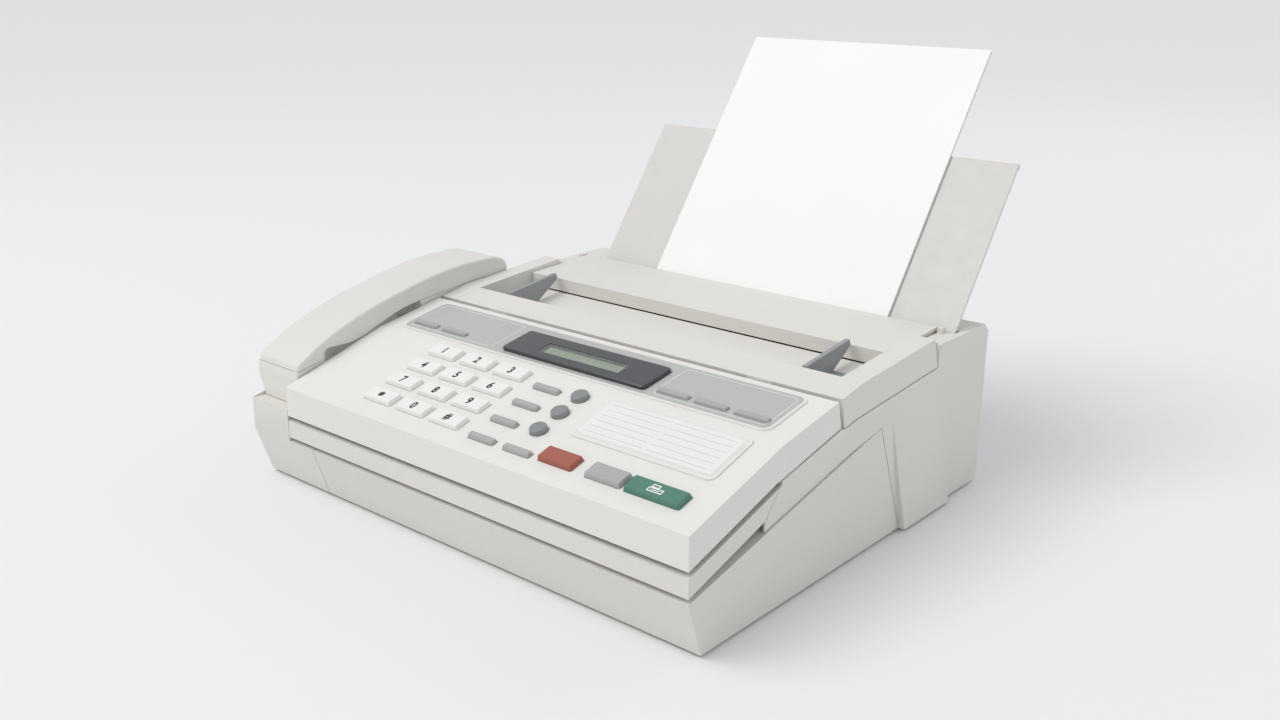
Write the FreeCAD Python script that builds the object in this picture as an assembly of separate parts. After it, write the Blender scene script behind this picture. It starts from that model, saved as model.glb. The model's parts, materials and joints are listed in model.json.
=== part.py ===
"""Fax machine with a corded handset, a hinged control panel and a rear sheet feeder.

Millimetres, +Z up, front towards -Y.  The outlines below are written in casing
coordinates: x is 0 at the casing's right side and runs to minus on its left, y is 0
at the front face, z is 0 on the table.  save() moves every part so that the origin is
on the table, in the middle of the whole machine.
"""
import FreeCAD, Part
import math
import os

V = FreeCAD.Vector

# ---- driving dimensions, casing coordinates -------------------------------------
CASE_W = 354.0              # casing, panel and feeder width
BASE_W = 396.5              # casing and handset cradle together; the handset overhangs it
BASE_SPLIT = 327.8          # width of the base under the casing
FLARE = 4.8                 # how far the right rear foot stands out
FOOT_H = 2.0                # rubber feet under the base
WALL = 2.5                  # moulded wall thickness
FIT = 0.05                  # radial clearance of a running fit
GAP = 0.6                   # joint line between two casings

FRONT_Z = 75.1              # control panel, top of its front face
FOLD = (82.7, 99.8)         # where the keypad slope meets the display slope
PANEL_REAR = (140.3, 110.3)
PANEL_HEEL = (144.4, 92.9)
PANEL_KNEE = ((78.9, 78.7), (83.0, 79.5))
PANEL_LOW_Z = 54.4

BASE_FRONT = (11.7, 0.0)
BASE_LIP = (0.0, 35.1)
BASE_TOP = (192.3, 78.8)
BASE_HEEL = (222.8, 0.0)

REAR_Y = 333.0              # back of the casing
REAR_TOP = 116.7
BEVEL = 6.0

RIDGE_W = 15.8              # side walls of the document tray
RIDGE_TOP = ((144.0, 111.1), (168.0, 115.4), (255.5, 122.1))
TABLE_REAR = (223.5, 106.3)  # back edge of the document table
TABLE_SLOPE = 10.0

COVER_FRONT = (224.0, 116.9)
COVER_HINGE = (289.0, 117.6)
PANEL_HINGE = (142.2, 106.3)

SHEET_FOOT = (292.0, 116.7)  # where the sheets enter the casing
SHEET_SLOPE = 53.8
SHEET_W = 210.0
SHEET_L = 297.0
SHEET_OUT = 218.2           # length of sheet above the casing
STACK_T = 1.6
SUPPORT_W = 317.0
SUPPORT_OUT = 131.0

KEY_TRAVEL = 1.5
KEY_GAP = 0.3               # gap round a key in its hole
GUIDE_TRAVEL = 55.0
GUIDE_HALF = 132.5          # document guides' distance from the middle, wide open
PINION_TEETH = 16
MODULE = 1.0

CRADLE_SLOPE = 12.62
CRADLE_Z = 58.7
CRADLE_L = 222.0
HANDSET_X = (-402.3, -355.4)

MIDDLE = -CASE_W / 2

slope_angle = math.degrees(math.atan2(FOLD[1] - FRONT_Z, FOLD[0]))
strip_angle = math.degrees(math.atan2(PANEL_REAR[1] - FOLD[1], PANEL_REAR[0] - FOLD[0]))

# a slope is the y and z of its origin and its angle; local v runs up it, t out of it
KEYPAD = (0.0, FRONT_Z, slope_angle)
STRIP = (FOLD[0], FOLD[1], strip_angle)
BOARD = (8.0, 65.5, 14.5)
SHEET = (SHEET_FOOT[0], SHEET_FOOT[1], SHEET_SLOPE)
TABLE = (TABLE_REAR[0], TABLE_REAR[1], TABLE_SLOPE)
CRADLE = (0.0, CRADLE_Z, CRADLE_SLOPE)

# the finished model's origin, from the same dimensions
sheet_top = SHEET_FOOT[0] + SHEET_OUT * math.cos(math.radians(SHEET_SLOPE))
LENGTH = sheet_top + STACK_T * math.sin(math.radians(SHEET_SLOPE))
ORIGIN = V((FLARE + HANDSET_X[0]) / 2, LENGTH / 2, -FOOT_H)

parts = {}


# ---- helpers ----------------------------------------------------------------------
def block(x0, x1, y0, y1, z0, z1):
    return Part.makeBox(x1 - x0, y1 - y0, z1 - z0, V(x0, y0, z0))


def bar(x0, x1, centre, radius):
    """A round bar along x, its centre given as (y, z)."""
    return Part.makeCylinder(radius, x1 - x0, V(x0, centre[0], centre[1]), V(1, 0, 0))


def prism(outline, x0, x1):
    """A (y, z) outline carried along x."""
    corners = [V(x0, y, z) for y, z in outline]
    face = Part.Face(Part.makePolygon(corners + corners[:1]))
    return face.extrude(V(x1 - x0, 0, 0))


def inset(outline, distance):
    """The outline with every side moved inwards."""
    count = len(outline)
    area = sum(outline[i - 1][0] * outline[i][1] - outline[i][0] * outline[i - 1][1]
               for i in range(count))
    turn = 1 if area > 0 else -1
    lines = []
    for i in range(count):
        (y0, z0), (y1, z1) = outline[i], outline[(i + 1) % count]
        length = math.hypot(y1 - y0, z1 - z0)
        dy, dz = (y1 - y0) / length, (z1 - z0) / length
        lines.append((y0 - turn * dz * distance, z0 + turn * dy * distance, dy, dz))
    corners = []
    for i in range(count):
        ya, za, dya, dza = lines[i - 1]
        yb, zb, dyb, dzb = lines[i]
        across = dya * dzb - dza * dyb
        along = ((yb - ya) * dzb - (zb - za) * dyb) / across
        corners.append((ya + dya * along, za + dza * along))
    return corners


def moved(outline, dy, dz):
    return [(y + dy, z + dz) for y, z in outline]


def place(slope, shape):
    """Lay a shape, made in a slope's own (x, v, t), on that slope."""
    y, z, angle = slope
    result = shape.copy()
    result.rotate(V(0, 0, 0), V(1, 0, 0), angle)
    result.translate(V(0, y, z))
    return result


def on_slope(slope, v, t):
    """The (y, z) of a point of a slope."""
    y, z, angle = slope
    c, s = math.cos(math.radians(angle)), math.sin(math.radians(angle))
    return y + v * c - t * s, z + v * s + t * c


def rounded_wire(width, depth, radius, height):
    """A rectangle with round corners, about the origin, at a height."""
    w, d = width / 2 - radius, depth / 2 - radius
    k = radius * math.sqrt(0.5)
    edges = []
    for sx, sy, turn in ((1, -1, 0), (1, 1, 1), (-1, 1, 2), (-1, -1, 3)):
        a = V(sx * (w + radius), sy * d, height)
        b = V(sx * w, sy * (d + radius), height)
        start, end = (b, a) if turn in (0, 2) else (a, b)
        edges.append(Part.Arc(start, V(sx * (w + k), sy * (d + k), height), end).toShape())
        nx, ny = ((1, 1), (-1, 1), (-1, -1), (1, -1))[turn]
        after = (V(nx * (w + radius), ny * d, height) if turn in (0, 2)
                 else V(nx * w, ny * (d + radius), height))
        edges.append(Part.LineSegment(end, after).toShape())
    return Part.Wire(edges)


def rounded_block(width, depth, radius, t0, t1):
    face = Part.Face(rounded_wire(width, depth, radius, t0))
    return face.extrude(V(0, 0, t1 - t0))


def tapered(sections):
    """A moulded cap: (width, depth, radius, height) sections joined by flat sides."""
    return Part.makeLoft([rounded_wire(*s) for s in sections], True, True)


def joined(first, *rest):
    return first.fuse(list(rest)).removeSplitter()


def cut(first, *rest):
    return first.cut(list(rest)) if rest else first


def save(name, shape):
    result = shape.copy()
    result.translate(-ORIGIN)
    parts[name] = result


# ---- keys -------------------------------------------------------------------------
# name, slope, x of the middle, v of the middle, width, depth (0 = round), height
KEYS = []
DIGITS = ("star", "0", "hash", "7", "8", "9", "4", "5", "6", "1", "2", "3")
for i, digit in enumerate(DIGITS):
    column, row = i % 3, i // 3
    KEYS.append((f"key_{digit}", KEYPAD, -273.3 + 32.5 * column, 21.2 + 19.5 * row,
                 26.6, 12.0, 3.0))
for i in range(4):
    KEYS.append((f"function_key_{i + 1}", KEYPAD, -171.8, 74.5 - 19.6 * i, 22.0, 5.2, 2.6))
KEYS.append(("function_key_5", KEYPAD, -141.6, 15.9, 22.0, 5.2, 2.6))
for name, v in (("redial_button", 76.2), ("hold_button", 57.4), ("mute_button", 37.9)):
    KEYS.append((name, KEYPAD, -144.6, v, 11.5, 0.0, 3.4))
KEYS.append(("stop_key", KEYPAD, -111.0, 21.0, 26.8, 12.4, 3.2))
KEYS.append(("copy_key", KEYPAD, -73.9, 21.0, 26.6, 12.6, 3.2))
KEYS.append(("start_key", KEYPAD, -38.1, 21.0, 39.4, 12.8, 3.2))
for i, x in enumerate((-321.4, -291.4, -92.4, -63.4, -33.5)):
    KEYS.append((f"menu_key_{i + 1}", STRIP, x, 18.6, 24.4, 4.8, 2.9))

CAP_FLANGE = 1.2            # the flange under the panel that keeps a key in
CAP_DRAFT = 0.8


def key_hole(key):
    """What the panel is opened by for a key."""
    name, slope, x, v, width, depth, height = key
    if depth:
        hole = rounded_block(width + 2 * KEY_GAP, depth + 2 * KEY_GAP, 1.3, -6.0, 6.0)
    else:
        hole = Part.makeCylinder(width / 2 + KEY_GAP, 12.0, V(0, 0, -6.0))
    hole.translate(V(x, v, 0))
    return place(slope, hole)


def stem_end(slope, v):
    """How deep below the panel's face a key's stem may reach."""
    y, z = on_slope(slope, v, 0)
    tilt = math.radians(BOARD[2])
    key_tilt = math.radians(slope[2])
    drop = (y - BOARD[0]) * -math.sin(tilt) + (z - BOARD[1]) * math.cos(tilt)
    return -drop / math.cos(tilt - key_tilt) + KEY_TRAVEL + 0.5


def key_cap(key):
    name, slope, x, v, width, depth, height = key
    under = -WALL - 0.2
    if depth:
        cap = tapered([(width, depth, 1.0, under), (width, depth, 1.0, 0.4),
                       (width - CAP_DRAFT, depth - CAP_DRAFT, 1.0, height - 0.5),
                       (width - CAP_DRAFT - 0.9, depth - CAP_DRAFT - 0.9, 0.8, height)])
        flange = rounded_block(width + 2 * CAP_FLANGE, depth + 2 * CAP_FLANGE, 1.0,
                               under - 1.2, under)
    else:
        r = width / 2
        profile = [(0, under), (r, under), (r, height - 0.7), (r - 0.7, height), (0, height)]
        corners = [V(a, 0, b) for a, b in profile]
        face = Part.Face(Part.makePolygon(corners + corners[:1]))
        cap = face.revolve(V(0, 0, 0), V(0, 0, 1), 360)
        flange = Part.makeCylinder(r + CAP_FLANGE, 1.2, V(0, 0, under - 1.2))
    deep = stem_end(slope, v)
    stem = Part.makeCylinder(1.6, under - 1.2 - deep + 0.5, V(0, 0, deep))
    solid = joined(cap, flange, stem)
    solid.translate(V(x, v, 0))
    return place(slope, solid)


# ---- control panel ------------------------------------------------------------------
PANEL_OUTLINE = [(0, PANEL_LOW_Z), (0, FRONT_Z), FOLD, PANEL_REAR, PANEL_HEEL,
                 PANEL_KNEE[1], PANEL_KNEE[0]]
DISPLAY = dict(x=-175.8, v=28.4, width=126.6, depth=29.4)
WINDOW = dict(x=-175.6, v=27.3, width=71.4, depth=12.2)
HINGE_X = (-60.0, -294.0)
LUG = 10.0
KNUCKLE_R = 2.9
PIN_R = 1.4


def control_panel():
    solid = prism(PANEL_OUTLINE, -CASE_W, 0)
    hollow = inset(PANEL_OUTLINE, WALL)
    inner = prism(hollow, -CASE_W + WALL, -WALL)
    inner_low = prism(moved(hollow, 0, -WALL - 2), -CASE_W + WALL, -WALL)
    strip_plate = rounded_block(324.4, 46.0, 7.0, -0.5, 0.9)
    strip_plate.translate(V(-178.3, 31.5, 0))
    index_plate = rounded_block(109.0, 43.2, 5.0, -0.5, 0.9)
    index_plate.translate(V(-71.3, 64.0, 0))
    solid = joined(solid, place(STRIP, strip_plate), place(KEYPAD, index_plate))
    solid = cut(solid, inner, inner_low)
    opening = rounded_block(DISPLAY["width"] - 10, DISPLAY["depth"] - 8, 1.5, -6, 6)
    opening.translate(V(DISPLAY["x"], DISPLAY["v"], 0))
    holes = [key_hole(key) for key in KEYS] + [place(STRIP, opening)]
    for x in HINGE_X:
        holes.append(bar(x - LUG, x + LUG, PANEL_HINGE, KNUCKLE_R + 0.5))
    solid = cut(solid, *holes)
    for x in HINGE_X:
        lug = bar(x - LUG / 2, x + LUG / 2, PANEL_HINGE, KNUCKLE_R)
        web = block(x - LUG / 2, x + LUG / 2, 136.6, PANEL_HINGE[0], 104.2, 107.2)
        bore = bar(x - LUG, x + LUG, PANEL_HINGE, PIN_R + FIT)
        solid = cut(joined(solid, lug, web), bore)
    return solid


def panel_base():
    """The closing plate under the panel; its underside guides the document."""
    low = [(WALL + 0.2, 55.3), PANEL_KNEE[0], PANEL_KNEE[1], (140.2, 92.0)]
    high = [(y, z + 2.0) for y, z in reversed(low)]
    solid = prism(low + high, -CASE_W + WALL + 0.2, -WALL - 0.2)
    posts = []
    for x in (-330, -255, -177, -99, -24):
        for v in (10, 120):
            y, z = on_slope(BOARD, v, 0)
            foot = low[0][1] + (y - low[0][0]) * 0.28
            posts.append(Part.makeCylinder(3.0, z - 2.5 - foot, V(x, y, foot)))
    return joined(solid, *posts)


def panel_board():
    board = block(-344, -10, 0, 129, -1.6, 0)
    chips = [block(-300 + 60 * i, -286 + 60 * i, 84, 98, -3.2, -1.6) for i in range(4)]
    holes = [Part.makeCylinder(1.6, 4, V(x, v, -3)) for x in (-338, -16) for v in (5, 124)]
    return place(BOARD, cut(joined(board, *chips), *holes))


def display_housing():
    width, depth = DISPLAY["width"], DISPLAY["depth"]
    bezel = tapered([(width, depth, 3.0, 0.9), (width, depth, 3.0, 2.9),
                     (width - 1.2, depth - 1.2, 2.6, 3.5)])
    body = rounded_block(width - 11, depth - 9, 1.2, -5.5, 1.2)
    solid = joined(bezel, body)
    dx, dv = WINDOW["x"] - DISPLAY["x"], WINDOW["v"] - DISPLAY["v"]
    seat = rounded_block(WINDOW["width"] + 0.2, WINDOW["depth"] + 0.2, 0.8, 2.3, 5)
    cell = rounded_block(WINDOW["width"] - 4, WINDOW["depth"] - 3, 0.6, -1.0, 3)
    seat.translate(V(dx, dv, 0))
    cell.translate(V(dx, dv, 0))
    solid = cut(solid, seat, cell)
    solid.translate(V(DISPLAY["x"], DISPLAY["v"], 0))
    return place(STRIP, solid)


def display_window():
    pane = rounded_block(WINDOW["width"], WINDOW["depth"], 0.7, 2.3, 3.3)
    pane.translate(V(WINDOW["x"], WINDOW["v"], 0))
    return place(STRIP, pane)


# ---- document tray and guides -----------------------------------------------------------
SLOT_V = -38.0              # where the guides' slot crosses the table
RACK_REACH = MODULE * PINION_TEETH / 2
RACK_H = 4.0
RACK_T0 = -9.0              # underside of the racks
NECK = 4.4


def feeder_frame():
    outline = [RIDGE_TOP[0], RIDGE_TOP[1], RIDGE_TOP[2], (261.3, 101.8), (163.3, 94.0),
               (148.0, 91.7)]
    hollow = inset(outline, 2.2)
    ridges = []
    for x in (-RIDGE_W, -CASE_W):
        ridge = prism(outline, x, x + RIDGE_W)
        inner = prism(hollow, x + 2.2, x + RIDGE_W - 2.2)
        lower = prism(moved(hollow, 0, -4.5), x + 2.2, x + RIDGE_W - 2.2)
        ridges.append(cut(ridge, inner, lower))
    left, right = -CASE_W + RIDGE_W - 0.4, -RIDGE_W + 0.4
    lip = prism([(144.2, 110.9), (168.3, 115.4), (168.3, 106.2), (145.6, 103.4)], left, right)
    lip_hollow = prism([(147.2, 108.8), (165.8, 112.3), (165.8, 103.0), (147.2, 101.0)],
                       left + 2, right - 2)
    table = place(TABLE, block(left, right, -78.0, 0, -2.5, 0))
    slots = []
    for side in (-1, 1):
        v = SLOT_V + side * (RACK_REACH + 3.0)
        near = MIDDLE + side * (GUIDE_HALF - GUIDE_TRAVEL - 4)
        far = MIDDLE + side * (GUIDE_HALF + 4)
        slots.append(place(TABLE, block(min(near, far), max(near, far), v - NECK / 2 - 0.4,
                                        v + NECK / 2 + 0.4, -4, 2)))
    boss = Part.makeCylinder(2.5 - FIT, 7.0, V(MIDDLE, SLOT_V, -9.0))
    frame = joined(table, *ridges, cut(lip, lip_hollow))
    frame = cut(frame, *slots)
    lug_pockets = [bar(x - LUG / 2 - 0.4, x + LUG / 2 + 0.4, PANEL_HINGE, KNUCKLE_R + 0.5)
                   for x in HINGE_X]
    frame = cut(frame, *lug_pockets)
    for x in HINGE_X:
        pin = bar(x - LUG / 2 - 4.4, x + LUG / 2 + 4.4, PANEL_HINGE, PIN_R)
        ears = []
        for x0 in (x - LUG / 2 - 4.4, x + LUG / 2 + 0.4):
            ears.append(bar(x0, x0 + 4, PANEL_HINGE, KNUCKLE_R))
            ears.append(block(x0, x0 + 4, PANEL_HINGE[0], 146.6, 104.0, 108.4))
        frame = joined(frame, pin, *ears)
    return joined(frame, place(TABLE, boss))


def rack_outline(start, end, side):
    """A rack's (x, v) outline with its teeth on one side, straight 20 degree flanks."""
    pitch = math.pi * MODULE
    addendum, dedendum = 0.8 * MODULE, 1.2 * MODULE
    flank = math.tan(math.radians(20))
    back = side * (RACK_REACH + 6.0)
    points = [V(start, back, 0)]
    first = math.ceil((start - MIDDLE) / pitch + 0.5)
    last = math.floor((end - MIDDLE) / pitch - 0.5)
    root, tip = side * (RACK_REACH + dedendum), side * (RACK_REACH - addendum)
    points.append(V(start, root, 0))
    for i in range(first, last + 1):
        x = MIDDLE + i * pitch
        half = pitch / 4 - 0.12
        foot, crest = half + dedendum * flank, half - addendum * flank
        points += [V(x - foot, root, 0), V(x - crest, tip, 0),
                   V(x + crest, tip, 0), V(x + foot, root, 0)]
    points += [V(end, root, 0), V(end, back, 0)]
    return points


def document_guide(side):
    """side 1 is the right guide, -1 the left one."""
    x = MIDDLE + side * GUIDE_HALF
    fin_low = on_slope(TABLE, -54.0, 0.3)
    outline = [fin_low, (170.6, 115.4), (220.8, 121.5), (222.3, 117.4),
               on_slope(TABLE, -25.0, 0.3)]
    fin = prism(outline, x - 1.6, x + 1.6)
    shoe = place(TABLE, block(min(x, x + side * 12), max(x, x + side * 12),
                              SLOT_V - 17, SLOT_V + 17, 0.3, 2.1))
    v = side * (RACK_REACH + 3.0)
    neck = place(TABLE, block(x - 3, x + 3, SLOT_V + v - NECK / 2, SLOT_V + v + NECK / 2,
                              RACK_T0 + 1, 1.0))
    far = MIDDLE - side * 66
    near, end = (far, x + 3) if side > 0 else (x - 3, far)
    corners = rack_outline(near, end, side)
    face = Part.Face(Part.makePolygon(corners + corners[:1]))
    rack = face.extrude(V(0, 0, RACK_H))
    rack.translate(V(0, SLOT_V, RACK_T0))
    return joined(fin, shoe, neck, place(TABLE, rack))


def involute_gear(teeth, module, height, backlash):
    """Spur gear about the origin, with a tooth gap facing +y."""
    pitch_r = teeth * module / 2
    base_r = pitch_r * math.cos(math.radians(20))
    tip_r, root_r = pitch_r + 0.8 * module, pitch_r - 1.15 * module
    tip_roll = math.sqrt((tip_r / base_r) ** 2 - 1)
    inv = math.tan(math.radians(20)) - math.radians(20)
    half = math.pi / (2 * teeth) - backlash / (2 * pitch_r) + inv
    points = []
    for tooth in range(teeth):
        middle = math.pi / 2 + (tooth + 0.5) * 2 * math.pi / teeth
        flank = []
        for step in range(6):
            roll = tip_roll * step / 5
            r = base_r * math.sqrt(1 + roll * roll)
            flank.append((r, half - (roll - math.atan(roll))))
        side = [(root_r, flank[0][1])] + flank
        points += [(r, middle - a) for r, a in side]
        points += [(r, middle + a) for r, a in reversed(side)]
    corners = [V(r * math.cos(a), r * math.sin(a), 0) for r, a in points]
    return Part.Face(Part.makePolygon(corners + corners[:1])).extrude(V(0, 0, height))


def guide_pinion():
    gear = involute_gear(PINION_TEETH, MODULE, RACK_H, 0.25)
    gear = cut(gear, Part.makeCylinder(2.5, 20, V(0, 0, -5)))
    gear.translate(V(MIDDLE, SLOT_V, RACK_T0))
    return place(TABLE, gear)


# ---- top cover ----------------------------------------------------------------------
BARREL_R = 2.2
COVER_PIN_R = 1.2
COVER_X = (-338.0, -16.3)


def top_cover():
    x0, x1 = COVER_X
    top = [COVER_FRONT, (289.0, 119.8), (289.0, 117.3), (226.5, 114.4), (226.5, 107.2),
           (224.0, 107.2)]
    skirt = [(226.0, 116.0), (282.0, 118.0), (282.0, 113.4), (226.0, 110.4)]
    solid = joined(prism(top, x0, x1), prism(skirt, x0, x0 + 2), prism(skirt, x1 - 2, x1),
                   bar(x0, x1, COVER_HINGE, BARREL_R))
    ribs = [block(x, x + 1.6, 230, 280, 112.6, 116.5) for x in (-258, -178, -98)]
    bores = [bar(x0 - 1, x0 + 7, COVER_HINGE, COVER_PIN_R + FIT),
             bar(x1 - 7, x1 + 1, COVER_HINGE, COVER_PIN_R + FIT)]
    return cut(joined(solid, *ribs), *bores)


# ---- rollers, print head and film ---------------------------------------------------
SHAFT_R = 3.0
DOCUMENT_ROLLER = (125.0, 79.4)
PLATEN = (232.0, 58.0)
TAKE_UP = (235.5, 92.5)
SUPPLY = (259.5, 95.0)
PICK_R = 9.0
PICK = on_slope(SHEET, -50.0, -STACK_T - 0.35 - PICK_R)
SHAFT_END = 8.0             # how far a shaft stops short of the casing's sides
BOSS_L = 9.0


def roller(centre, radius, x0, x1):
    shaft = bar(-CASE_W + SHAFT_END - 4.5, -SHAFT_END + 4.5, centre, SHAFT_R)
    return joined(shaft, bar(x0, x1, centre, radius))


def pick_roller():
    shaft = bar(-CASE_W + SHAFT_END - 4.5, -SHAFT_END + 4.5, PICK, SHAFT_R)
    tyres = [bar(x - 14, x + 14, PICK, PICK_R) for x in (-235, MIDDLE + 15, -89)]
    return joined(shaft, *tyres)


def film_spool(centre, radius):
    shaft = bar(-CASE_W + SHAFT_END - 4.5, -SHAFT_END + 4.5, centre, SHAFT_R)
    roll = bar(-274, -50, centre, radius)
    flanges = [bar(x, x + 2, centre, radius + 1.2) for x in (-276, -50)]
    return joined(shaft, roll, *flanges)


def print_head():
    """Thermal head on its finned heat sink, over the platen."""
    rail = prism([(225.0, 67.4), (239.0, 67.4), (239.0, 71.0), (225.0, 71.0)], -300, -24)
    fins = [block(-296 + 9 * i, -292.5 + 9 * i, 226, 238, 70.5, 80.0) for i in range(30)]
    hanger = block(-300, -24, 230.5, 233.5, 70.5, 80.0)
    edge = bar(-290, -34, (232.0, 67.6), 1.0)
    ends = [block(-351.5, -299, 226, 238, 68.0, 71.0), block(-25, -2.5, 226, 238, 68.0, 71.0)]
    return joined(rail, hanger, edge, *fins, *ends)


def image_sensor():
    body = prism([(95.0, 64.5), (112.0, 64.5), (112.0, 81.0), (95.0, 77.4)], -300, -54)
    lens = block(-296, -58, 101, 106, 60.5, 66.0)
    feet = [block(x, x + 10, 95.5, 111.5, 62.0, 66.0) for x in (-310, -54)]
    return joined(body, lens, *feet)


def feed_motor():
    can = bar(-40, -20, (205.0, 62.0), 17.5)
    nose = bar(-20.5, -18, (205.0, 62.0), 6.0)
    spindle = bar(-18.5, -9, (205.0, 62.0), 1.5)
    ear = block(-21.5, -20, 183.0, 227.0, 57.0, 67.0)
    foot = block(-38, -22, 191.0, 203.0, 36.0, 47.0)
    return joined(can, nose, spindle, ear, foot)


# ---- casings --------------------------------------------------------------------------
def base_shell():
    outline = [BASE_FRONT, BASE_LIP, BASE_TOP, BASE_HEEL]
    solid = prism(outline, -BASE_SPLIT, 0)
    hollow = inset(outline, WALL)
    solid = cut(solid, prism(hollow, -BASE_SPLIT + WALL, -WALL))
    window = block(-BASE_SPLIT + WALL, -WALL, 76, 240, 40, 90)
    solid = cut(solid, window)
    posts = []
    for x in (-290, -180, -68):
        for y in (40, 190):
            posts.append(Part.makeCylinder(4.0, 6.0, V(x, y, 2.0)))
    motor_bed = block(-40, -20, 188, 205, 2.0, 36.0)
    sensor_beds = [block(x, x + 8, 97, 110, 2.0, 61.9) for x in (-309, -53)]
    return joined(solid, *posts, motor_bed, *sensor_beds)


def lower_cover():
    """Front layer between panel and base, with the lower document guide behind it."""
    outline = [(0.0, 38.5), (0.0, 50.5), (82.7, 75.5), (68.7, 59.4)]
    solid = prism(outline, -CASE_W, 0)
    solid = cut(solid, prism(inset(outline, 2.2), -CASE_W + 2.2, -2.2))
    plate = prism([(79.0, 72.4), (82.2, 75.2), (144.0, 89.2), (144.0, 87.0), (83.0, 73.2)],
                  -CASE_W + 5, -5)
    windows = [block(-306, -48, 94.2, 113, 60, 95), block(-333, -21, 115.2, 135, 60, 95)]
    shaft_way = bar(-CASE_W, 0, DOCUMENT_ROLLER, SHAFT_R + 0.6)
    boss_ways = [bar(x - 5, x + 5, DOCUMENT_ROLLER, 5.8) for x in (-CASE_W + 5, -5)]
    return cut(joined(solid, plate), *windows, shaft_way, *boss_ways)


def shaft_boss(centre, outer):
    """A bearing boss on each side wall and its bore."""
    bosses, bores = [], []
    for x0, x1 in ((-CASE_W + 1.2, -CASE_W + BOSS_L), (-BOSS_L, -1.2)):
        bosses.append(bar(x0, x1, centre, outer))
    bores.append(bar(-CASE_W + SHAFT_END - 5, -CASE_W + BOSS_L + 1, centre, SHAFT_R + FIT))
    bores.append(bar(-BOSS_L - 1, -SHAFT_END + 5, centre, SHAFT_R + FIT))
    return bosses, bores


def right_foot():
    """The flared foot that steadies the tall rear of the casing."""
    top = [V(0, 206.6, 79.9), V(0, 262.3, 97.5)]
    low = [V(FLARE, 222.8, 0), V(FLARE - 0.1, 283.3, 0)]
    inner = [V(0, 222.8, 0), V(0, 283.3, 0)]
    faces = [(top[0], low[0], low[1], top[1]), (inner[0], low[0], low[1], inner[1]),
             (top[0], inner[0], inner[1], top[1])]
    shell = []
    for face in faces:
        a, b, c, d = face
        for corners in ((a, b, c), (a, c, d)):
            shell.append(Part.Face(Part.makePolygon(list(corners) + [corners[0]])))
    for corners in ((top[0], inner[0], low[0]), (top[1], low[1], inner[1])):
        shell.append(Part.Face(Part.makePolygon(list(corners) + [corners[0]])))
    solid = Part.makeSolid(Part.makeShell(shell))
    if solid.Volume < 0:
        solid.reverse()
    return solid


def main_housing():
    outline = [(70.4, 60.9), (84.3, 76.9), (84.6, 78.6), (146.4, 91.8), (147.6, 90.7),
               (163.4, 93.1), (262.4, 101.0), (262.9, REAR_TOP), (REAR_Y - BEVEL, REAR_TOP),
               (REAR_Y, REAR_TOP - BEVEL), (REAR_Y, 4.0), (REAR_Y - BEVEL, 0.0),
               (BASE_HEEL[0] + 0.7, 0.0), (BASE_TOP[0] + 0.6, BASE_TOP[1] + 0.4),
               (70.0, 51.7)]
    solid = prism(outline, -CASE_W, 0)
    solid = cut(solid, prism(inset(outline, WALL), -CASE_W + WALL, -WALL))
    solid = cut(solid, block(-CASE_W + WALL, -WALL, 60, 265.8, WALL, 130))
    openings = [block(-341.0, -14.8, 250, 291.6, 110, 125),
                block(-324.0, -4.6, 291.5, 299.6, 110, 125)]
    solid = cut(solid, *openings)
    reveal = [(68.0, 58.8), (192.0, 78.6), (70.0, 50.0)]
    solid = cut(solid, prism(reveal, -1.2, 1.0), prism(reveal, -CASE_W - 1, -CASE_W + 1.2))
    ramp = place(SHEET, block(-CASE_W + 2, -2, -34, -5.5, -6.6, -4.4))
    shelf = place(SHEET, block(-CASE_W + 2, -2, -82.5, -79.2, -9.0, 2.0))
    bosses, bores = [], []
    for centre, outer in ((DOCUMENT_ROLLER, 5.2), (PLATEN, 5.5), (TAKE_UP, 5.2),
                          (SUPPLY, 5.2), (PICK, 5.5)):
        more, holes = shaft_boss(centre, outer)
        bosses += more
        bores += holes
    ears = []
    for x0, x1 in ((-14.6, -11.0), (-344.2, -339.4)):
        ears.append(block(x0, x1, 285.4, 291.4, 115.0, 120.2))
        ears.append(bar(x0, x1, COVER_HINGE, 2.6))
    ears.append(bar(-21.5, -14.0, COVER_HINGE, COVER_PIN_R))
    ears.append(bar(-340.0, -332.8, COVER_HINGE, COVER_PIN_R))
    solid = joined(solid, ramp, shelf, *bosses)
    solid = cut(solid, *bores)
    solid = joined(solid, *ears, right_foot())
    inlet = block(-62.0, -38.0, 325, 335, 16.0, 34.0)
    jack_hole = block(-160.0, -122.0, 325, 335, 14.0, 30.0)
    slots = [block(-240 + 9 * i, -236 + 9 * i, 325, 335, 52, 84) for i in range(12)]
    return cut(solid, inlet, jack_hole, *slots)


# ---- boards and connections ---------------------------------------------------------
def main_board():
    board = block(-299, -58, 24, 200, 8.0, 9.6)
    chips = [block(-290, -264, 60, 86, 9.6, 12.6), block(-240, -222, 60, 78, 9.6, 12.0),
             block(-200, -182, 100, 118, 9.6, 12.4), block(-150, -134, 60, 88, 9.6, 13.0),
             block(-110, -80, 130, 160, 9.6, 24.0), block(-280, -262, 140, 160, 9.6, 20.0)]
    cans = [Part.makeCylinder(5, 15, V(x, y, 9.6)) for x, y in ((-90, 70), (-75, 70), (-90, 95))]
    return joined(board, *chips, *cans)


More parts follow.
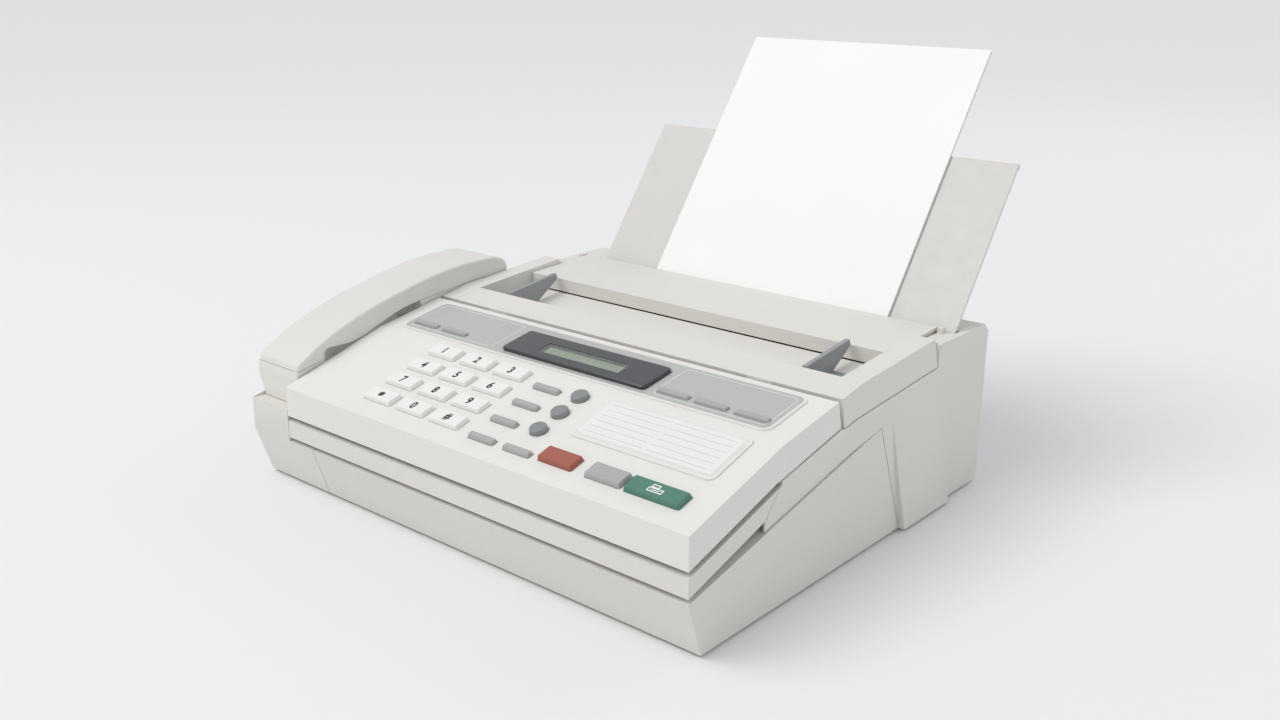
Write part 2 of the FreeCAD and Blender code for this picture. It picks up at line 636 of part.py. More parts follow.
def power_supply():
    board = block(-230, -20, 236, 318, 8.0, 9.6)
    core = [block(-190, -150, 250, 290, 9.6, 40.0), block(-120, -100, 250, 300, 9.6, 34.0)]
    cans = [Part.makeCylinder(9, 28, V(x, 262, 9.6)) for x in (-72, -48)]
    posts = [Part.makeCylinder(4, 5.6, V(x, y, 2.5)) for x in (-220, -30) for y in (244, 310)]
    inlet = block(-61.6, -38.4, 312, REAR_Y, 16.4, 33.6)
    mouth = block(-59.6, -40.4, 319, 340, 18.4, 31.6)
    pins = [Part.makeCylinder(1.2, 8, V(x, 318.5, 25), V(0, 1, 0)) for x in (-54.5, -45.5)]
    pillar = block(-58, -42, 312, 316, 8.0, 18.0)
    return joined(board, *core, *cans, *posts, pillar, cut(inlet, mouth), *pins)


def phone_jacks():
    body = block(-159.6, -122.4, 316, REAR_Y - 0.3, 14.4, 29.6)
    foot = block(-157, -125, 319, 325, 2.5, 15.0)
    sockets = []
    for x in (-150.5, -131.5):
        sockets.append(block(x - 6, x + 6, 320, 340, 17.5, 24.5))
        sockets.append(block(x - 3.2, x + 3.2, 320, 340, 24.0, 27.0))
    return joined(cut(body, *sockets), foot)


# ---- handset and cradle ----------------------------------------------------------------
BLOCK_X = (-394.4, -363.3)  # the ear and mouth blocks where they lie in the cradle
# the back's outline over the top, front to rear
HANDSET_TOP = [(11.6, 82.7), (13.9, 87.8), (28.7, 96.4), (81.0, 115.9), (108.8, 122.3),
               (126.1, 126.0), (179.4, 131.4), (206.9, 129.0), (211.5, 126.4),
               (214.4, 119.6)]
# the seam between the two halves, front to rear, and the grip's underside below it
SEAM = [(33.0, 86.3), (33.6, 90.6), (37.5, 94.0), (46.0, 94.3), (58.0, 94.0), (70.0, 96.6),
        (83.0, 101.4), (96.7, 106.2), (111.5, 110.0), (123.3, 111.6), (150.0, 114.0),
        (180.0, 116.8)]
GRIP_UNDER = [(35.0, 85.5), (35.4, 89.9), (38.3, 92.3), (46.0, 92.6), (58.0, 92.2),
              (70.4, 94.9), (83.5, 99.7), (97.0, 104.5), (111.8, 108.3), (121.0, 109.6),
              (123.8, 108.6)]
GRIP_ENDS = (35.6, 123.2)   # the lower half is only a strip between these
GRIP_INSET = 3.2            # and this much narrower on each side
MOUTH_FRONT = [(9.2, CRADLE_Z + 0.2), (10.3, 70.0), (10.6, 77.4)]
EAR_V = (132.2, 214.0)
SEAT_T = -4.4               # the ear block's underside, on the cradle's slope

CORD_SOCKET = (9.0, 7.7, 5.6)   # depth, width and height of the handset cord's sockets
MOUTH_SOCKET = (22.0, 77.0)     # the (y, z) of the one in the handset
CRADLE_SOCKET = (66.0, 24.0)    # and of the one in the cradle's left wall


def on_cradle(v, t):
    return on_slope(CRADLE, v, t)


def cord_socket(x, centre):
    """The mouth of a handset cord's socket, open to the left at x."""
    deep, wide, high = CORD_SOCKET
    y, z = centre
    mouth = block(x - 1, x + deep, y - wide / 2, y + wide / 2, z - high / 2, z + high / 2)
    latch = block(x - 1, x + deep, y - 1.6, y + 1.6, z + high / 2 - 0.5, z + high / 2 + 1.3)
    return joined(mouth, latch)


def handset_back():
    """The upper half of the handset, rounded along its long edges."""
    solid = prism(HANDSET_TOP + [(213.6, 117.2)] + list(reversed(SEAM)), *HANDSET_X)
    rounds = []
    for edge in solid.Edges:
        ends = [v.Point for v in edge.Vertexes]
        long_way = abs(ends[0].x - ends[-1].x) < 0.01
        above = all(any(math.hypot(p.y - y, p.z - z) < 0.01 for y, z in HANDSET_TOP)
                    for p in ends)
        if long_way and above:
            rounds.append(edge)
    return solid.makeFillet(3.5, rounds)


def block_section():
    """Narrows the ear and mouth blocks downwards, as far as the cradle's walls."""
    left = [(0, -14.0), (0, 0.5), (3.0, 4.0), (5.8, 8.0), (7.4, 12.0), (7.9, 15.0), (7.9, 70.0)]
    corners = [V(BLOCK_X[0] - out, 0, t) for out, t in left]
    corners += [V(BLOCK_X[1] + out, 0, t) for out, t in reversed(left)]
    face = Part.Face(Part.makePolygon(corners + corners[:1]))
    return place(CRADLE, face.extrude(V(0, 240, 0)))


def handset_face():
    """The lower half: ear and mouth blocks joined by the underside of the grip."""
    ear = [on_cradle(v, SEAT_T) for v in reversed(EAR_V)]
    outline = ([(11.5, 82.65)] + [(y, z - 0.03) for y, z in SEAM] + [(212.6, 117.0)] + ear
               + list(reversed(GRIP_UNDER)) + [(41.0, MOUTH_FRONT[0][1])] + MOUTH_FRONT)
    solid = prism(outline, *HANDSET_X).common(block_section())
    bands = [block(x, x + GRIP_INSET, *GRIP_ENDS, 83, 113)
             for x in (HANDSET_X[0], HANDSET_X[1] - GRIP_INSET)]
    holes = []
    middle = (BLOCK_X[0] + BLOCK_X[1]) / 2
    for v in (30.0, 188.0):
        for i in range(6):
            turn = math.radians(60 * i)
            hole = Part.makeCylinder(1.1, 9, V(middle + 6 * math.cos(turn),
                                               v + 6 * math.sin(turn), -9))
            holes.append(place(CRADLE, hole))
    return cut(solid, *bands, *holes, cord_socket(HANDSET_X[0] + 0.1, MOUTH_SOCKET))


PLUNGER_V = 176.0
PLUNGER_UP = 4.0
BRIDGE_V = (65.0, 127.0)    # the bridge's top between the two wells, on the cradle's slope
BRIDGE_T = 8.0              # and its height above the rim


def handset_cradle():
    """The side casing: a well for the mouth, a raised bridge under the grip, an ear well."""
    x0, x1 = -BASE_W, -CASE_W - GAP
    outline = [BASE_FRONT, BASE_LIP, (0.0, CRADLE_Z), on_cradle(BRIDGE_V[0] - 4, 0),
               on_cradle(BRIDGE_V[0] - 4, BRIDGE_T - 4), on_cradle(BRIDGE_V[0] - 2.8, BRIDGE_T - 1.2),
               on_cradle(BRIDGE_V[0], BRIDGE_T), on_cradle(BRIDGE_V[1], BRIDGE_T),
               on_cradle(BRIDGE_V[1] + 2.8, BRIDGE_T - 1.2),
               on_cradle(BRIDGE_V[1] + 4, BRIDGE_T - 4), on_cradle(BRIDGE_V[1] + 4, 0),
               on_cradle(CRADLE_L / 0.9758, 0), (CRADLE_L, 0.0)]
    tall = cut(prism(outline, x0, x1), prism(inset(outline, WALL), x0 + WALL, x1 - WALL))
    outline_low = [BASE_FRONT, BASE_LIP, BASE_TOP, BASE_HEEL]
    low = prism(outline_low, x1 - 0.5, -BASE_SPLIT - GAP)
    low_hollow = prism(inset(outline_low, WALL), x1 - 0.5 + WALL, -BASE_SPLIT - GAP - WALL)
    rear_wall = on_cradle(BRIDGE_V[0] - 4, 0)[0]
    mouth_floor = block(x0 + 1, x1 - 1, 1.0, rear_wall + 1, CRADLE_Z - 2.8, CRADLE_Z - 0.3)
    mouth_wall = block(x0 + 1, x1 - 1, rear_wall, rear_wall + 2, CRADLE_Z - 2.8, 71.0)
    ear_floor = place(CRADLE, block(x0 + 1, x1 - 1, BRIDGE_V[1] + 2, 220.0, -7.0, -4.5))
    ear_wall = place(CRADLE, block(x0 + 1, x1 - 1, BRIDGE_V[1] + 2, BRIDGE_V[1] + 4, -7.0, 1.0))
    mouth_well = block(x0 + 1.6, x1 - 2.2, -1.0, rear_wall, CRADLE_Z - 0.3, 90)
    ear_well = place(CRADLE, block(x0 + 1.6, x1 - 2.2, BRIDGE_V[1] + 4, 219.0, -4.5, 12.0))
    plunger_hole = place(CRADLE, block(-384.0, -367.0, PLUNGER_V - 6.0, PLUNGER_V + 6.0, -8, 0))
    y, z = CRADLE_SOCKET
    jack = block(x0 + 1, x0 + 12, y - 6, y + 6, z - 6, z + 6)
    solid = joined(tall, cut(low, low_hollow), mouth_floor, mouth_wall, ear_floor, ear_wall, jack)
    return cut(solid, mouth_well, ear_well, plunger_hole, cord_socket(x0, CRADLE_SOCKET))


def hook_switch():
    """The plunger under the ear block; shown pressed down by the resting handset."""
    cap = rounded_block(16.0, 11.0, 1.5, -12.0, -4.7)
    flange = rounded_block(22.0, 17.0, 1.5, -13.2, -12.0)
    solid = joined(cap, flange)
    solid.translate(V(-375.5, PLUNGER_V, 0))
    return place(CRADLE, solid)


# ---- sheets, feet and screws -----------------------------------------------------------
def paper_support():
    x1 = -5.8
    plate = block(x1 - SUPPORT_W, x1, -24, SUPPORT_OUT, -3.9, -2.1)
    ribs = [block(x, x + 2, 3, SUPPORT_OUT - 8, -5.5, -3.8) for x in (-300, -232, -164, -96, -30)]
    rim = block(x1 - SUPPORT_W, x1, SUPPORT_OUT - 3, SUPPORT_OUT, -5.5, -3.8)
    return place(SHEET, joined(plate, *ribs, rim))


def paper_stack():
    x1 = -56.7
    return place(SHEET, block(x1 - SHEET_W, x1, SHEET_OUT - SHEET_L, SHEET_OUT, -STACK_T, 0))


FOOT_PLACES = [(-300.0, 34.0), (-30.0, 34.0), (-30.0, 312.0), (-330.0, 312.0),
               (-376.0, 34.0), (-376.0, 200.0)]


def rubber_feet():
    return Part.makeCompound([Part.makeCylinder(7.5, FOOT_H, V(x, y, -FOOT_H))
                              for x, y in FOOT_PLACES])


def case_screws():
    """Self-tapping screws that hold the lower parts together, in from the back."""
    screws = []
    for x, z in ((-340.0, 100.0), (-14.0, 100.0), (-340.0, 20.0), (-14.0, 20.0)):
        head = Part.makeCylinder(3.2, 1.6, V(x, REAR_Y, z), V(0, 1, 0))
        drive = block(x - 2.2, x + 2.2, REAR_Y + 0.8, REAR_Y + 2, z - 0.4, z + 0.4)
        screws.append(cut(head, drive))
    return Part.makeCompound(screws)


# ---- the assembly ---------------------------------------------------------------------
save("control_panel", control_panel())
save("panel_base", panel_base())
save("panel_board", panel_board())
save("display_housing", display_housing())
save("display_window", display_window())
for key in KEYS:
    save(key[0], key_cap(key))
save("feeder_frame", feeder_frame())
save("guide_left", document_guide(-1))
save("guide_right", document_guide(1))
save("guide_pinion", guide_pinion())
save("top_cover", top_cover())
save("document_roller", roller(DOCUMENT_ROLLER, 8.0, -331, -23))
save("platen_roller", roller(PLATEN, 8.0, -300, -24))
save("pick_roller", pick_roller())
save("film_takeup_spool", film_spool(TAKE_UP, 8.5))
save("film_supply_spool", film_spool(SUPPLY, 11.0))
save("print_head", print_head())
save("image_sensor", image_sensor())
save("feed_motor", feed_motor())
save("base_shell", base_shell())
save("lower_cover", lower_cover())
save("main_housing", main_housing())
save("main_board", main_board())
save("power_supply", power_supply())
save("phone_jacks", phone_jacks())
save("handset_cradle", handset_cradle())
save("handset_back", handset_back())
save("handset_face", handset_face())
save("hook_switch", hook_switch())
save("paper_support", paper_support())
save("paper_stack", paper_stack())
save("rubber_feet", rubber_feet())
save("case_screws", case_screws())

os.makedirs("parts", exist_ok=True)
for name, shape in parts.items():
    shape.exportStep(f"parts/{name}.step")
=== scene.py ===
"""Looks of the desktop fax machine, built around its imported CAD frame.

The frame is in metres. Sizes in the tables here are millimetres in casing coordinates:
x is 0 at the casing's right side and runs to minus on its left, y is 0 at the front
face, z is 0 at the underside of the base. LEVEL and the slopes below carry them to
the frame.
"""
import json
import math
import random

import bmesh
import bpy
from mathutils import Matrix, Vector


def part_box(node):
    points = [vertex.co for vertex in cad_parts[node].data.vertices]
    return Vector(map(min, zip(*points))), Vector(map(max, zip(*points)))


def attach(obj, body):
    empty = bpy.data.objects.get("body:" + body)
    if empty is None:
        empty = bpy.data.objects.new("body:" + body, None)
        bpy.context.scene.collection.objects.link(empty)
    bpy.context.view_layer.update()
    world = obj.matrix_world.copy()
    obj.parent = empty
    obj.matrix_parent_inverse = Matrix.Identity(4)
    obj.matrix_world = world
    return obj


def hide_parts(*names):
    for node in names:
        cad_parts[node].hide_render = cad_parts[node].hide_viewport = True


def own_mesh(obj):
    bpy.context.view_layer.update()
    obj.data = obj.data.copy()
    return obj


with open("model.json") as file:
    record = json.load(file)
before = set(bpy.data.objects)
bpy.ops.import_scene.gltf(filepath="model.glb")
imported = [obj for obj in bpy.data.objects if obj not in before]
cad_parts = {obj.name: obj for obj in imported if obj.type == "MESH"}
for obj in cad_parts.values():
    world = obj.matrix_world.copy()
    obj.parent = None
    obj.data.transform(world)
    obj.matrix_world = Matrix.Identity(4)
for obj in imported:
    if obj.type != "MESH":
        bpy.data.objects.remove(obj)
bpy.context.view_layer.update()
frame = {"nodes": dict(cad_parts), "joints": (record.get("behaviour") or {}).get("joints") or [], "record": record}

MM = 0.001
NODES = frame["nodes"]
JOINTS = {joint["name"]: joint for joint in frame["joints"]}
BODY_OF = {node: body for body, nodes in frame["record"]["behaviour"]["bodies"].items()
           for node in nodes}
SLOT_OF = {row["node"]: row["material_slot"] for row in frame["record"]["subparts"]}

# ---- places taken from the frame ------------
panel_low, panel_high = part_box("control_panel")
CASE = Vector((panel_high.x, panel_low.y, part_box("base_shell")[0].z))
CASE_W = (panel_high.x - panel_low.x) / MM


def slope_angle(joint, turn):
    """The tilt about x of the surface that a slide joint is square to."""
    axis = Vector(JOINTS[joint]["axis"]) * turn
    return math.atan2(-axis.y, axis.z)


def slope(y, z, angle):
    """Carries (x, v, t) millimetres, v up the slope and t out of it, to the frame."""
    move = Matrix.Translation(CASE + Vector((0, y, z)) * MM)
    return move @ Matrix.Rotation(angle, 4, "X") @ Matrix.Scale(MM, 4)


LEVEL = slope(0, 0, 0)
KEYPAD_TILT = slope_angle("key_5_press", -1)
STRIP_TILT = slope_angle("menu_key_1_press", -1)
CRADLE_TILT = slope_angle("handset_lift", 1)
FRONT_TOP_Z = 75.1              # the panel's face at its front edge
FOLD = (82.7, 99.8)             # where the keypad's slope meets the display strip's
CRADLE_RIM_Z = 58.7
SHEET_FOOT = (292.0, 116.7)     # where the sheets enter the casing
KEYPAD_BOARD = (8.0, 65.5, math.radians(14.5))
BOARD_TOP = 9.6                 # the upper face of the two boards in the base
KEYPAD = slope(0, FRONT_TOP_Z, KEYPAD_TILT)
STRIP = slope(*FOLD, STRIP_TILT)
CRADLE = slope(0, CRADLE_RIM_Z, CRADLE_TILT)
sheet_axis = Vector(JOINTS["sheet_lift"]["axis"])
SHEET = slope(*SHEET_FOOT, math.atan2(sheet_axis.z, sheet_axis.y))


# ---- materials ------------
def noise(tree, source, scale, detail, stretch=None):
    """Noise over the object's own space; stretch flattens it along an axis."""
    made = tree.nodes.new("ShaderNodeTexNoise")
    made.inputs["Scale"].default_value = scale
    made.inputs["Detail"].default_value = detail
    if stretch:
        squeeze = tree.nodes.new("ShaderNodeMapping")
        squeeze.inputs["Scale"].default_value = stretch
        tree.links.new(source, squeeze.inputs["Vector"])
        source = squeeze.outputs["Vector"]
    tree.links.new(source, made.inputs["Vector"])
    return made.outputs["Fac"]


def between(tree, factor, low, high):
    """A number that runs from low to high as the noise does."""
    made = tree.nodes.new("ShaderNodeMapRange")
    made.inputs["From Min"].default_value = 0.3
    made.inputs["From Max"].default_value = 0.7
    made.inputs["To Min"].default_value = low
    made.inputs["To Max"].default_value = high
    tree.links.new(factor, made.inputs["Value"])
    return made.outputs["Result"]


def blend_colour(tree, factor, first, second):
    """A colour that runs from the first to the second as the factor does."""
    made = tree.nodes.new("ShaderNodeMix")
    made.data_type = "RGBA"
    made.inputs[6].default_value = (*first, 1)
    made.inputs[7].default_value = (*second, 1)
    tree.links.new(factor, made.inputs[0])
    return made.outputs[2]


def surface(name, colour, roughness, grain=2200.0, bump=0.04, depth=0.0001, shift=0.02,
            metallic=0.0, coat=0.0, stretch=None, patch=9.0, **shader):
    """A surface with fine grain in its relief, and soft patches in colour and gloss."""
    material = bpy.data.materials.new(name)
    material.use_nodes = True
    tree = material.node_tree
    principled = tree.nodes["Principled BSDF"]
    principled.inputs["Metallic"].default_value = metallic
    principled.inputs["Coat Weight"].default_value = coat
    for key, value in shader.items():
        principled.inputs[key.replace("_", " ")].default_value = value
    space = tree.nodes.new("ShaderNodeTexCoord").outputs["Object"]
    patches = noise(tree, space, patch, 4.0)
    dark = tuple(c * (1 - shift) for c in colour)
    light = tuple(min(1.0, c * (1 + shift * 0.6)) for c in colour)
    mixed = blend_colour(tree, between(tree, patches, 0.0, 1.0), dark, light)
    tree.links.new(mixed, principled.inputs["Base Color"])
    wear = noise(tree, space, patch * 12, 5.0)
    rough = between(tree, wear, max(0.02, roughness - 0.06), min(1.0, roughness + 0.06))
    tree.links.new(rough, principled.inputs["Roughness"])
    relief = tree.nodes.new("ShaderNodeBump")
    relief.inputs["Strength"].default_value = bump
    relief.inputs["Distance"].default_value = depth
    fine = noise(tree, space, grain, 2.0, stretch)
    tree.links.new(fine, relief.inputs["Height"])
    tree.links.new(relief.outputs["Normal"], principled.inputs["Normal"])
    return material


CLEAR = dict(grain=400.0, bump=0.01, coat=0.5)      # a see-through moulding, polished
ROLLED = dict(metallic=1.0, bump=0.2)               # metal with the marks of its rolling
LOOKS = {                                           # colour, roughness and the rest
    "casing_plastic": ((0.72, 0.70, 0.655), 0.50, dict(bump=0.22)),
    "panel_shell": ((0.77, 0.76, 0.725), 0.46, dict(bump=0.18)),
    "handset_plastic": ((0.72, 0.70, 0.655), 0.40, dict(bump=0.12)),
    "inner_plastic": ((0.055, 0.058, 0.062), 0.55, dict(bump=0.2)),
    "number_keys": ((0.83, 0.82, 0.79), 0.38, dict(bump=0.06)),
    "function_keys": ((0.40, 0.405, 0.40), 0.40, dict(bump=0.06)),
    "round_buttons": ((0.24, 0.25, 0.26), 0.38, dict(bump=0.06)),
    "start_key": ((0.075, 0.21, 0.155), 0.36, dict(bump=0.06)),
    "stop_key": ((0.36, 0.10, 0.07), 0.36, dict(bump=0.06)),
    "display_frame": ((0.018, 0.02, 0.023), 0.22, dict(coat=0.6, bump=0.03)),
    "display_window": ((0.70, 0.76, 0.70), 0.08, dict(CLEAR, Alpha=0.16)),
    "display_cell": ((0.25, 0.32, 0.20), 0.30, dict(coat=0.3, bump=0.02)),
    "display_dots": ((0.20, 0.262, 0.162), 0.30, dict(bump=0.02)),
    "circuit_board": ((0.015, 0.10, 0.045), 0.36, dict(coat=0.4, shift=0.3, patch=160.0)),
    "chip_black": ((0.014, 0.014, 0.016), 0.5, dict(bump=0.2)),
    "solder": ((0.62, 0.62, 0.60), 0.35, dict(metallic=1.0)),
    "copper": ((0.55, 0.26, 0.12), 0.35, dict(metallic=1.0)),
    "gold": ((0.75, 0.52, 0.16), 0.28, dict(metallic=1.0)),
    "can_sleeve": ((0.02, 0.03, 0.09), 0.30, dict(coat=0.3)),
    "guide_plastic": ((0.30, 0.315, 0.33), 0.42, dict(bump=0.12)),
    "roller_rubber": ((0.022, 0.022, 0.024), 0.78,
                      dict(grain=1500.0, bump=0.4, stretch=(8.0, 1.0, 1.0))),
    "shaft_steel": ((0.56, 0.56, 0.55), 0.28,
                    dict(ROLLED, bump=0.1, stretch=(12.0, 1.0, 1.0))),
    "ink_film": ((0.008, 0.008, 0.010), 0.24,
                 dict(coat=0.5, grain=900.0, stretch=(0.15, 3.0, 3.0), bump=0.25)),
    "heat_sink": ((0.72, 0.73, 0.74), 0.36, dict(ROLLED, stretch=(0.1, 3.0, 3.0))),
    "sensor_black": ((0.016, 0.016, 0.018), 0.48, dict(bump=0.2)),
    "motor_steel": ((0.50, 0.50, 0.49), 0.34,
                    dict(ROLLED, stretch=(0.2, 4.0, 4.0), bump=0.25)),
    "foot_rubber": ((0.018, 0.018, 0.018), 0.85, dict(bump=0.5)),
    "screw_steel": ((0.30, 0.30, 0.31), 0.35, dict(metallic=1.0)),
    "sheet_paper": ((0.90, 0.90, 0.885), 0.72,
                    dict(grain=1100.0, bump=0.10, shift=0.012, patch=14.0,
                         stretch=(1.0, 2.2, 2.2))),
    "support_plastic": ((0.62, 0.605, 0.57), 0.42, dict(bump=0.16)),
    "card_cover": ((0.92, 0.94, 0.95), 0.10, dict(CLEAR, Alpha=0.14)),
    "index_paper": ((0.84, 0.84, 0.80), 0.7, dict(bump=0.1)),
    "strip_film": ((0.47, 0.475, 0.465), 0.36, dict(coat=0.15, bump=0.05, shift=0.03)),
    "print_ink": ((0.012, 0.012, 0.014), 0.42, dict(bump=0.02)),
    "pale_ink": ((0.86, 0.86, 0.84), 0.45, dict(bump=0.02)),
    "rule_ink": ((0.30, 0.36, 0.42), 0.6, dict(bump=0.02)),
}
MATERIALS = {name: surface(name, colour, roughness, **rest)
             for name, (colour, roughness, rest) in LOOKS.items()}


# ---- mesh helpers ------------
def linked(name, data):
    made = bpy.data.objects.new(name, data)
    bpy.context.scene.collection.objects.link(made)
    return made


def mesh_of(name, bm, matrix=None):
    """Turns a bmesh into a mesh, its faces outwards."""
    if matrix:
        bm.transform(matrix)
    bmesh.ops.recalc_face_normals(bm, faces=bm.faces[:])
    mesh = bpy.data.meshes.new(name)
    bm.to_mesh(mesh)
    bm.free()
    return mesh


def piece(name, bm, body, slot, material=None, matrix=None, smooth=32.0, covers=()):
    """Turns a bmesh into an object that rides on a body."""
    mesh = mesh_of(name, bm, matrix)
    mesh.shade_smooth()
    mesh.set_sharp_from_angle(angle=math.radians(smooth))
    mesh.materials.append(MATERIALS[material or slot])
    made = linked(name, mesh)
    if covers:
        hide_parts(*covers)
    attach(made, body)
    return made


def weighted(made):
    """Keeps broad faces flat where a rounded edge runs into them."""
    modifier = made.modifiers.new("flat_faces", "WEIGHTED_NORMAL")
    modifier.keep_sharp = True
    modifier.weight = 100
    return made


def soften(bm, edges, offset, segments, clamp=True):
    """Rounds edges; clamp keeps the rounding from running into its neighbours."""
    bmesh.ops.bevel(bm, geom=edges, offset=offset, segments=segments, profile=0.5,
                    affect="EDGES", clamp_overlap=clamp)


def rounded_rectangle(width, depth, radius, centre=(0.0, 0.0), steps=6):
    """Corner points of a rectangle with round corners, anticlockwise."""
    points = []
    for quarter, (sx, sy) in enumerate(((1, 1), (-1, 1), (-1, -1), (1, -1))):
        cx = centre[0] + sx * (width / 2 - radius)
        cy = centre[1] + sy * (depth / 2 - radius)
        for step in range(steps + 1):
            turn = math.radians(90 * (quarter + step / steps))
            points.append((cx + radius * math.cos(turn), cy + radius * math.sin(turn)))
    return points


def ring(bm, points, t):
    """A closed loop of edges at height t."""
    corners = [bm.verts.new((x, y, t)) for x, y in points]
    return [bm.edges.new((corners[i - 1], corners[i])) for i in range(len(corners))]


def sheet_with_holes(bm, outline, holes, low, high):
    """A flat sheet from low to high, with holes through it."""
    edges = ring(bm, outline, low)
    for hole in holes:
        edges += ring(bm, hole, low)
    filled = bmesh.ops.triangle_fill(bm, use_beauty=True, edges=edges)
    faces = [f for f in filled["geom"] if isinstance(f, bmesh.types.BMFace)]
    raised = bmesh.ops.extrude_face_region(bm, geom=faces)
    top = [v for v in raised["geom"] if isinstance(v, bmesh.types.BMVert)]
    bmesh.ops.translate(bm, verts=top, vec=(0, 0, high - low))


def slab(bm, outline, low, high, round_top=0.0, round_low=0.0, segments=3):
    """A solid of an (x, y) outline, its top and lower rims rounded."""
    lower = [bm.verts.new((x, y, low)) for x, y in outline]
    face = bm.faces.new(lower)
    raised = bmesh.ops.extrude_face_region(bm, geom=[face])
    upper = [v for v in raised["geom"] if isinstance(v, bmesh.types.BMVert)]
    bmesh.ops.translate(bm, verts=upper, vec=(0, 0, high - low))
    for corners, amount in ((upper, round_top), (lower, round_low)):
        if amount:
            group = set(corners)
            rim = [e for v in corners if v.is_valid for e in v.link_edges
                   if e.other_vert(v) in group]
            soften(bm, list(set(rim)), amount, segments, clamp=False)


def box_part(bm, x, y, z, bevel=0.2, segments=2):
    """A block from three (low, high) ranges with softened edges."""
    made = bmesh.ops.create_cube(bm, size=1.0)
    size = (x[1] - x[0], y[1] - y[0], z[1] - z[0])
    middle = Vector(((x[0] + x[1]) / 2, (y[0] + y[1]) / 2, (z[0] + z[1]) / 2))
    for v in made["verts"]:
        v.co = Vector((v.co.x * size[0], v.co.y * size[1], v.co.z * size[2])) + middle
    if bevel:
        edges = list({e for v in made["verts"] for e in v.link_edges})
        soften(bm, edges, bevel, segments, clamp=False)


def skin(bm, rings):
    """Faces between one loop of corners and the next, and a lid at each end."""
    for first, second in zip(rings, rings[1:]):
        for i in range(len(first)):
            bm.faces.new((first[i - 1], first[i], second[i], second[i - 1]))
    bm.faces.new(rings[0])
    bm.faces.new(rings[-1])


def lathe(bm, profile, centre, along="x", steps=48):
    """Turns (distance along the axis, radius) points about an axis through centre."""
    rings = []
    for distance, radius in profile:
        corners = []
        for step in range(steps):
            turn = 2 * math.pi * step / steps
            a, b = radius * math.cos(turn), radius * math.sin(turn)
            offset = {"x": (distance, a, b), "y": (a, distance, b), "z": (a, b, distance)}
            corners.append(bm.verts.new(Vector(centre) + Vector(offset[along])))
        rings.append(corners)
    skin(bm, rings)


def cad_mesh(cad_node):
    """A bmesh of a CAD node with its flat faces whole again."""
    bm = bmesh.new()
    bm.from_mesh(NODES[cad_node].data)
    bmesh.ops.remove_doubles(bm, verts=bm.verts[:], dist=2e-6)
    bmesh.ops.dissolve_limit(bm, angle_limit=math.radians(0.6), verts=bm.verts[:],
                             edges=bm.edges[:])
    return bm


def sharp_edges(bm, angle, shortest=0.0, longest=10.0):
    return [e for e in bm.edges if len(e.link_faces) == 2
            and e.calc_face_angle(0.0) > math.radians(angle)
            and shortest <= e.calc_length() < longest]


SHARP = 38                      # degrees; flatter edges stay as they are


def softened(cad_node, edge, fine=None, long_over=0.04):
    """A CAD node's shape with its edges rounded as a mould leaves them."""
    bm = cad_mesh(cad_node)
    if fine is not None:
        small = sharp_edges(bm, SHARP, 0.0, long_over)
        if small:
            soften(bm, small, fine * MM, 2)
        chosen = sharp_edges(bm, SHARP, long_over)
    else:
        chosen = sharp_edges(bm, SHARP)
    soften(bm, chosen, edge * MM, 3)
    return weighted(piece(cad_node + "_moulding", bm, BODY_OF[cad_node], SLOT_OF[cad_node],
                          smooth=40.0, covers=[cad_node]))


# ---- casing ------------
def casing():
    for name, edge, fine, long_over in (
            ("control_panel", 1.0, 0.25, 0.09), ("lower_cover", 0.6, 0.25, 0.04),
            ("base_shell", 1.0, 0.3, 0.07), ("main_housing", 0.9, 0.3, 0.05),
            ("feeder_frame", 0.7, 0.2, 0.04), ("handset_cradle", 0.9, 0.3, 0.05),
            ("top_cover", 0.6, 0.2, 0.05), ("paper_support", 0.5, 0.2, 0.05),
            ("panel_base", 0.4, 0.2, 0.05), ("guide_left", 0.5, 0.1, 0.02),
            ("guide_right", 0.5, 0.1, 0.02)):
        softened(name, edge, fine, long_over)
    softened("hook_switch", 0.5)
    softened("rubber_feet", 0.4)


# ---- control panel ------------
STRIP_PLATE = dict(width=324.4, depth=46.0, radius=7.0, x=-178.3, v=31.5, top=0.9)
INDEX_PLATE = dict(width=109.0, depth=43.2, radius=5.0, x=-71.3, v=64.0, top=0.9)
DISPLAY = dict(width=126.6, depth=29.4, radius=3.0, x=-175.8, v=28.4)
WINDOW = dict(width=71.4, depth=12.2, x=-175.6, v=27.3)
MENU_HOLE = (25.4, 5.8, 1.4)    # width, depth and corner radius in the strip's film
KEYS = [n for n in NODES if n + "_press" in JOINTS]
MENU_KEYS = [n for n in NODES if n.startswith("menu_key")]
NUMBER_KEYS = [n for n in NODES if n.startswith("key_")]
FILM = 0.14                 # thickness of the printed film on the strip
PRINT = 0.06                # thickness of printed ink
CLEARANCE = 0.01            # between a key's top and the ink on it


def plate_outline(plate, margin):
    return rounded_rectangle(plate["width"] - 2 * margin, plate["depth"] - 2 * margin,
                             max(0.6, plate["radius"] - margin), (plate["x"], plate["v"]))


def local_box(cad_node, matrix):
    """A node's low and high corners in a slope's own millimetres."""
    back = matrix.inverted()
    points = [back @ v.co for v in NODES[cad_node].data.vertices]
    low = Vector([min(p[i] for p in points) for i in range(3)])
    high = Vector([max(p[i] for p in points) for i in range(3)])
    return low, high


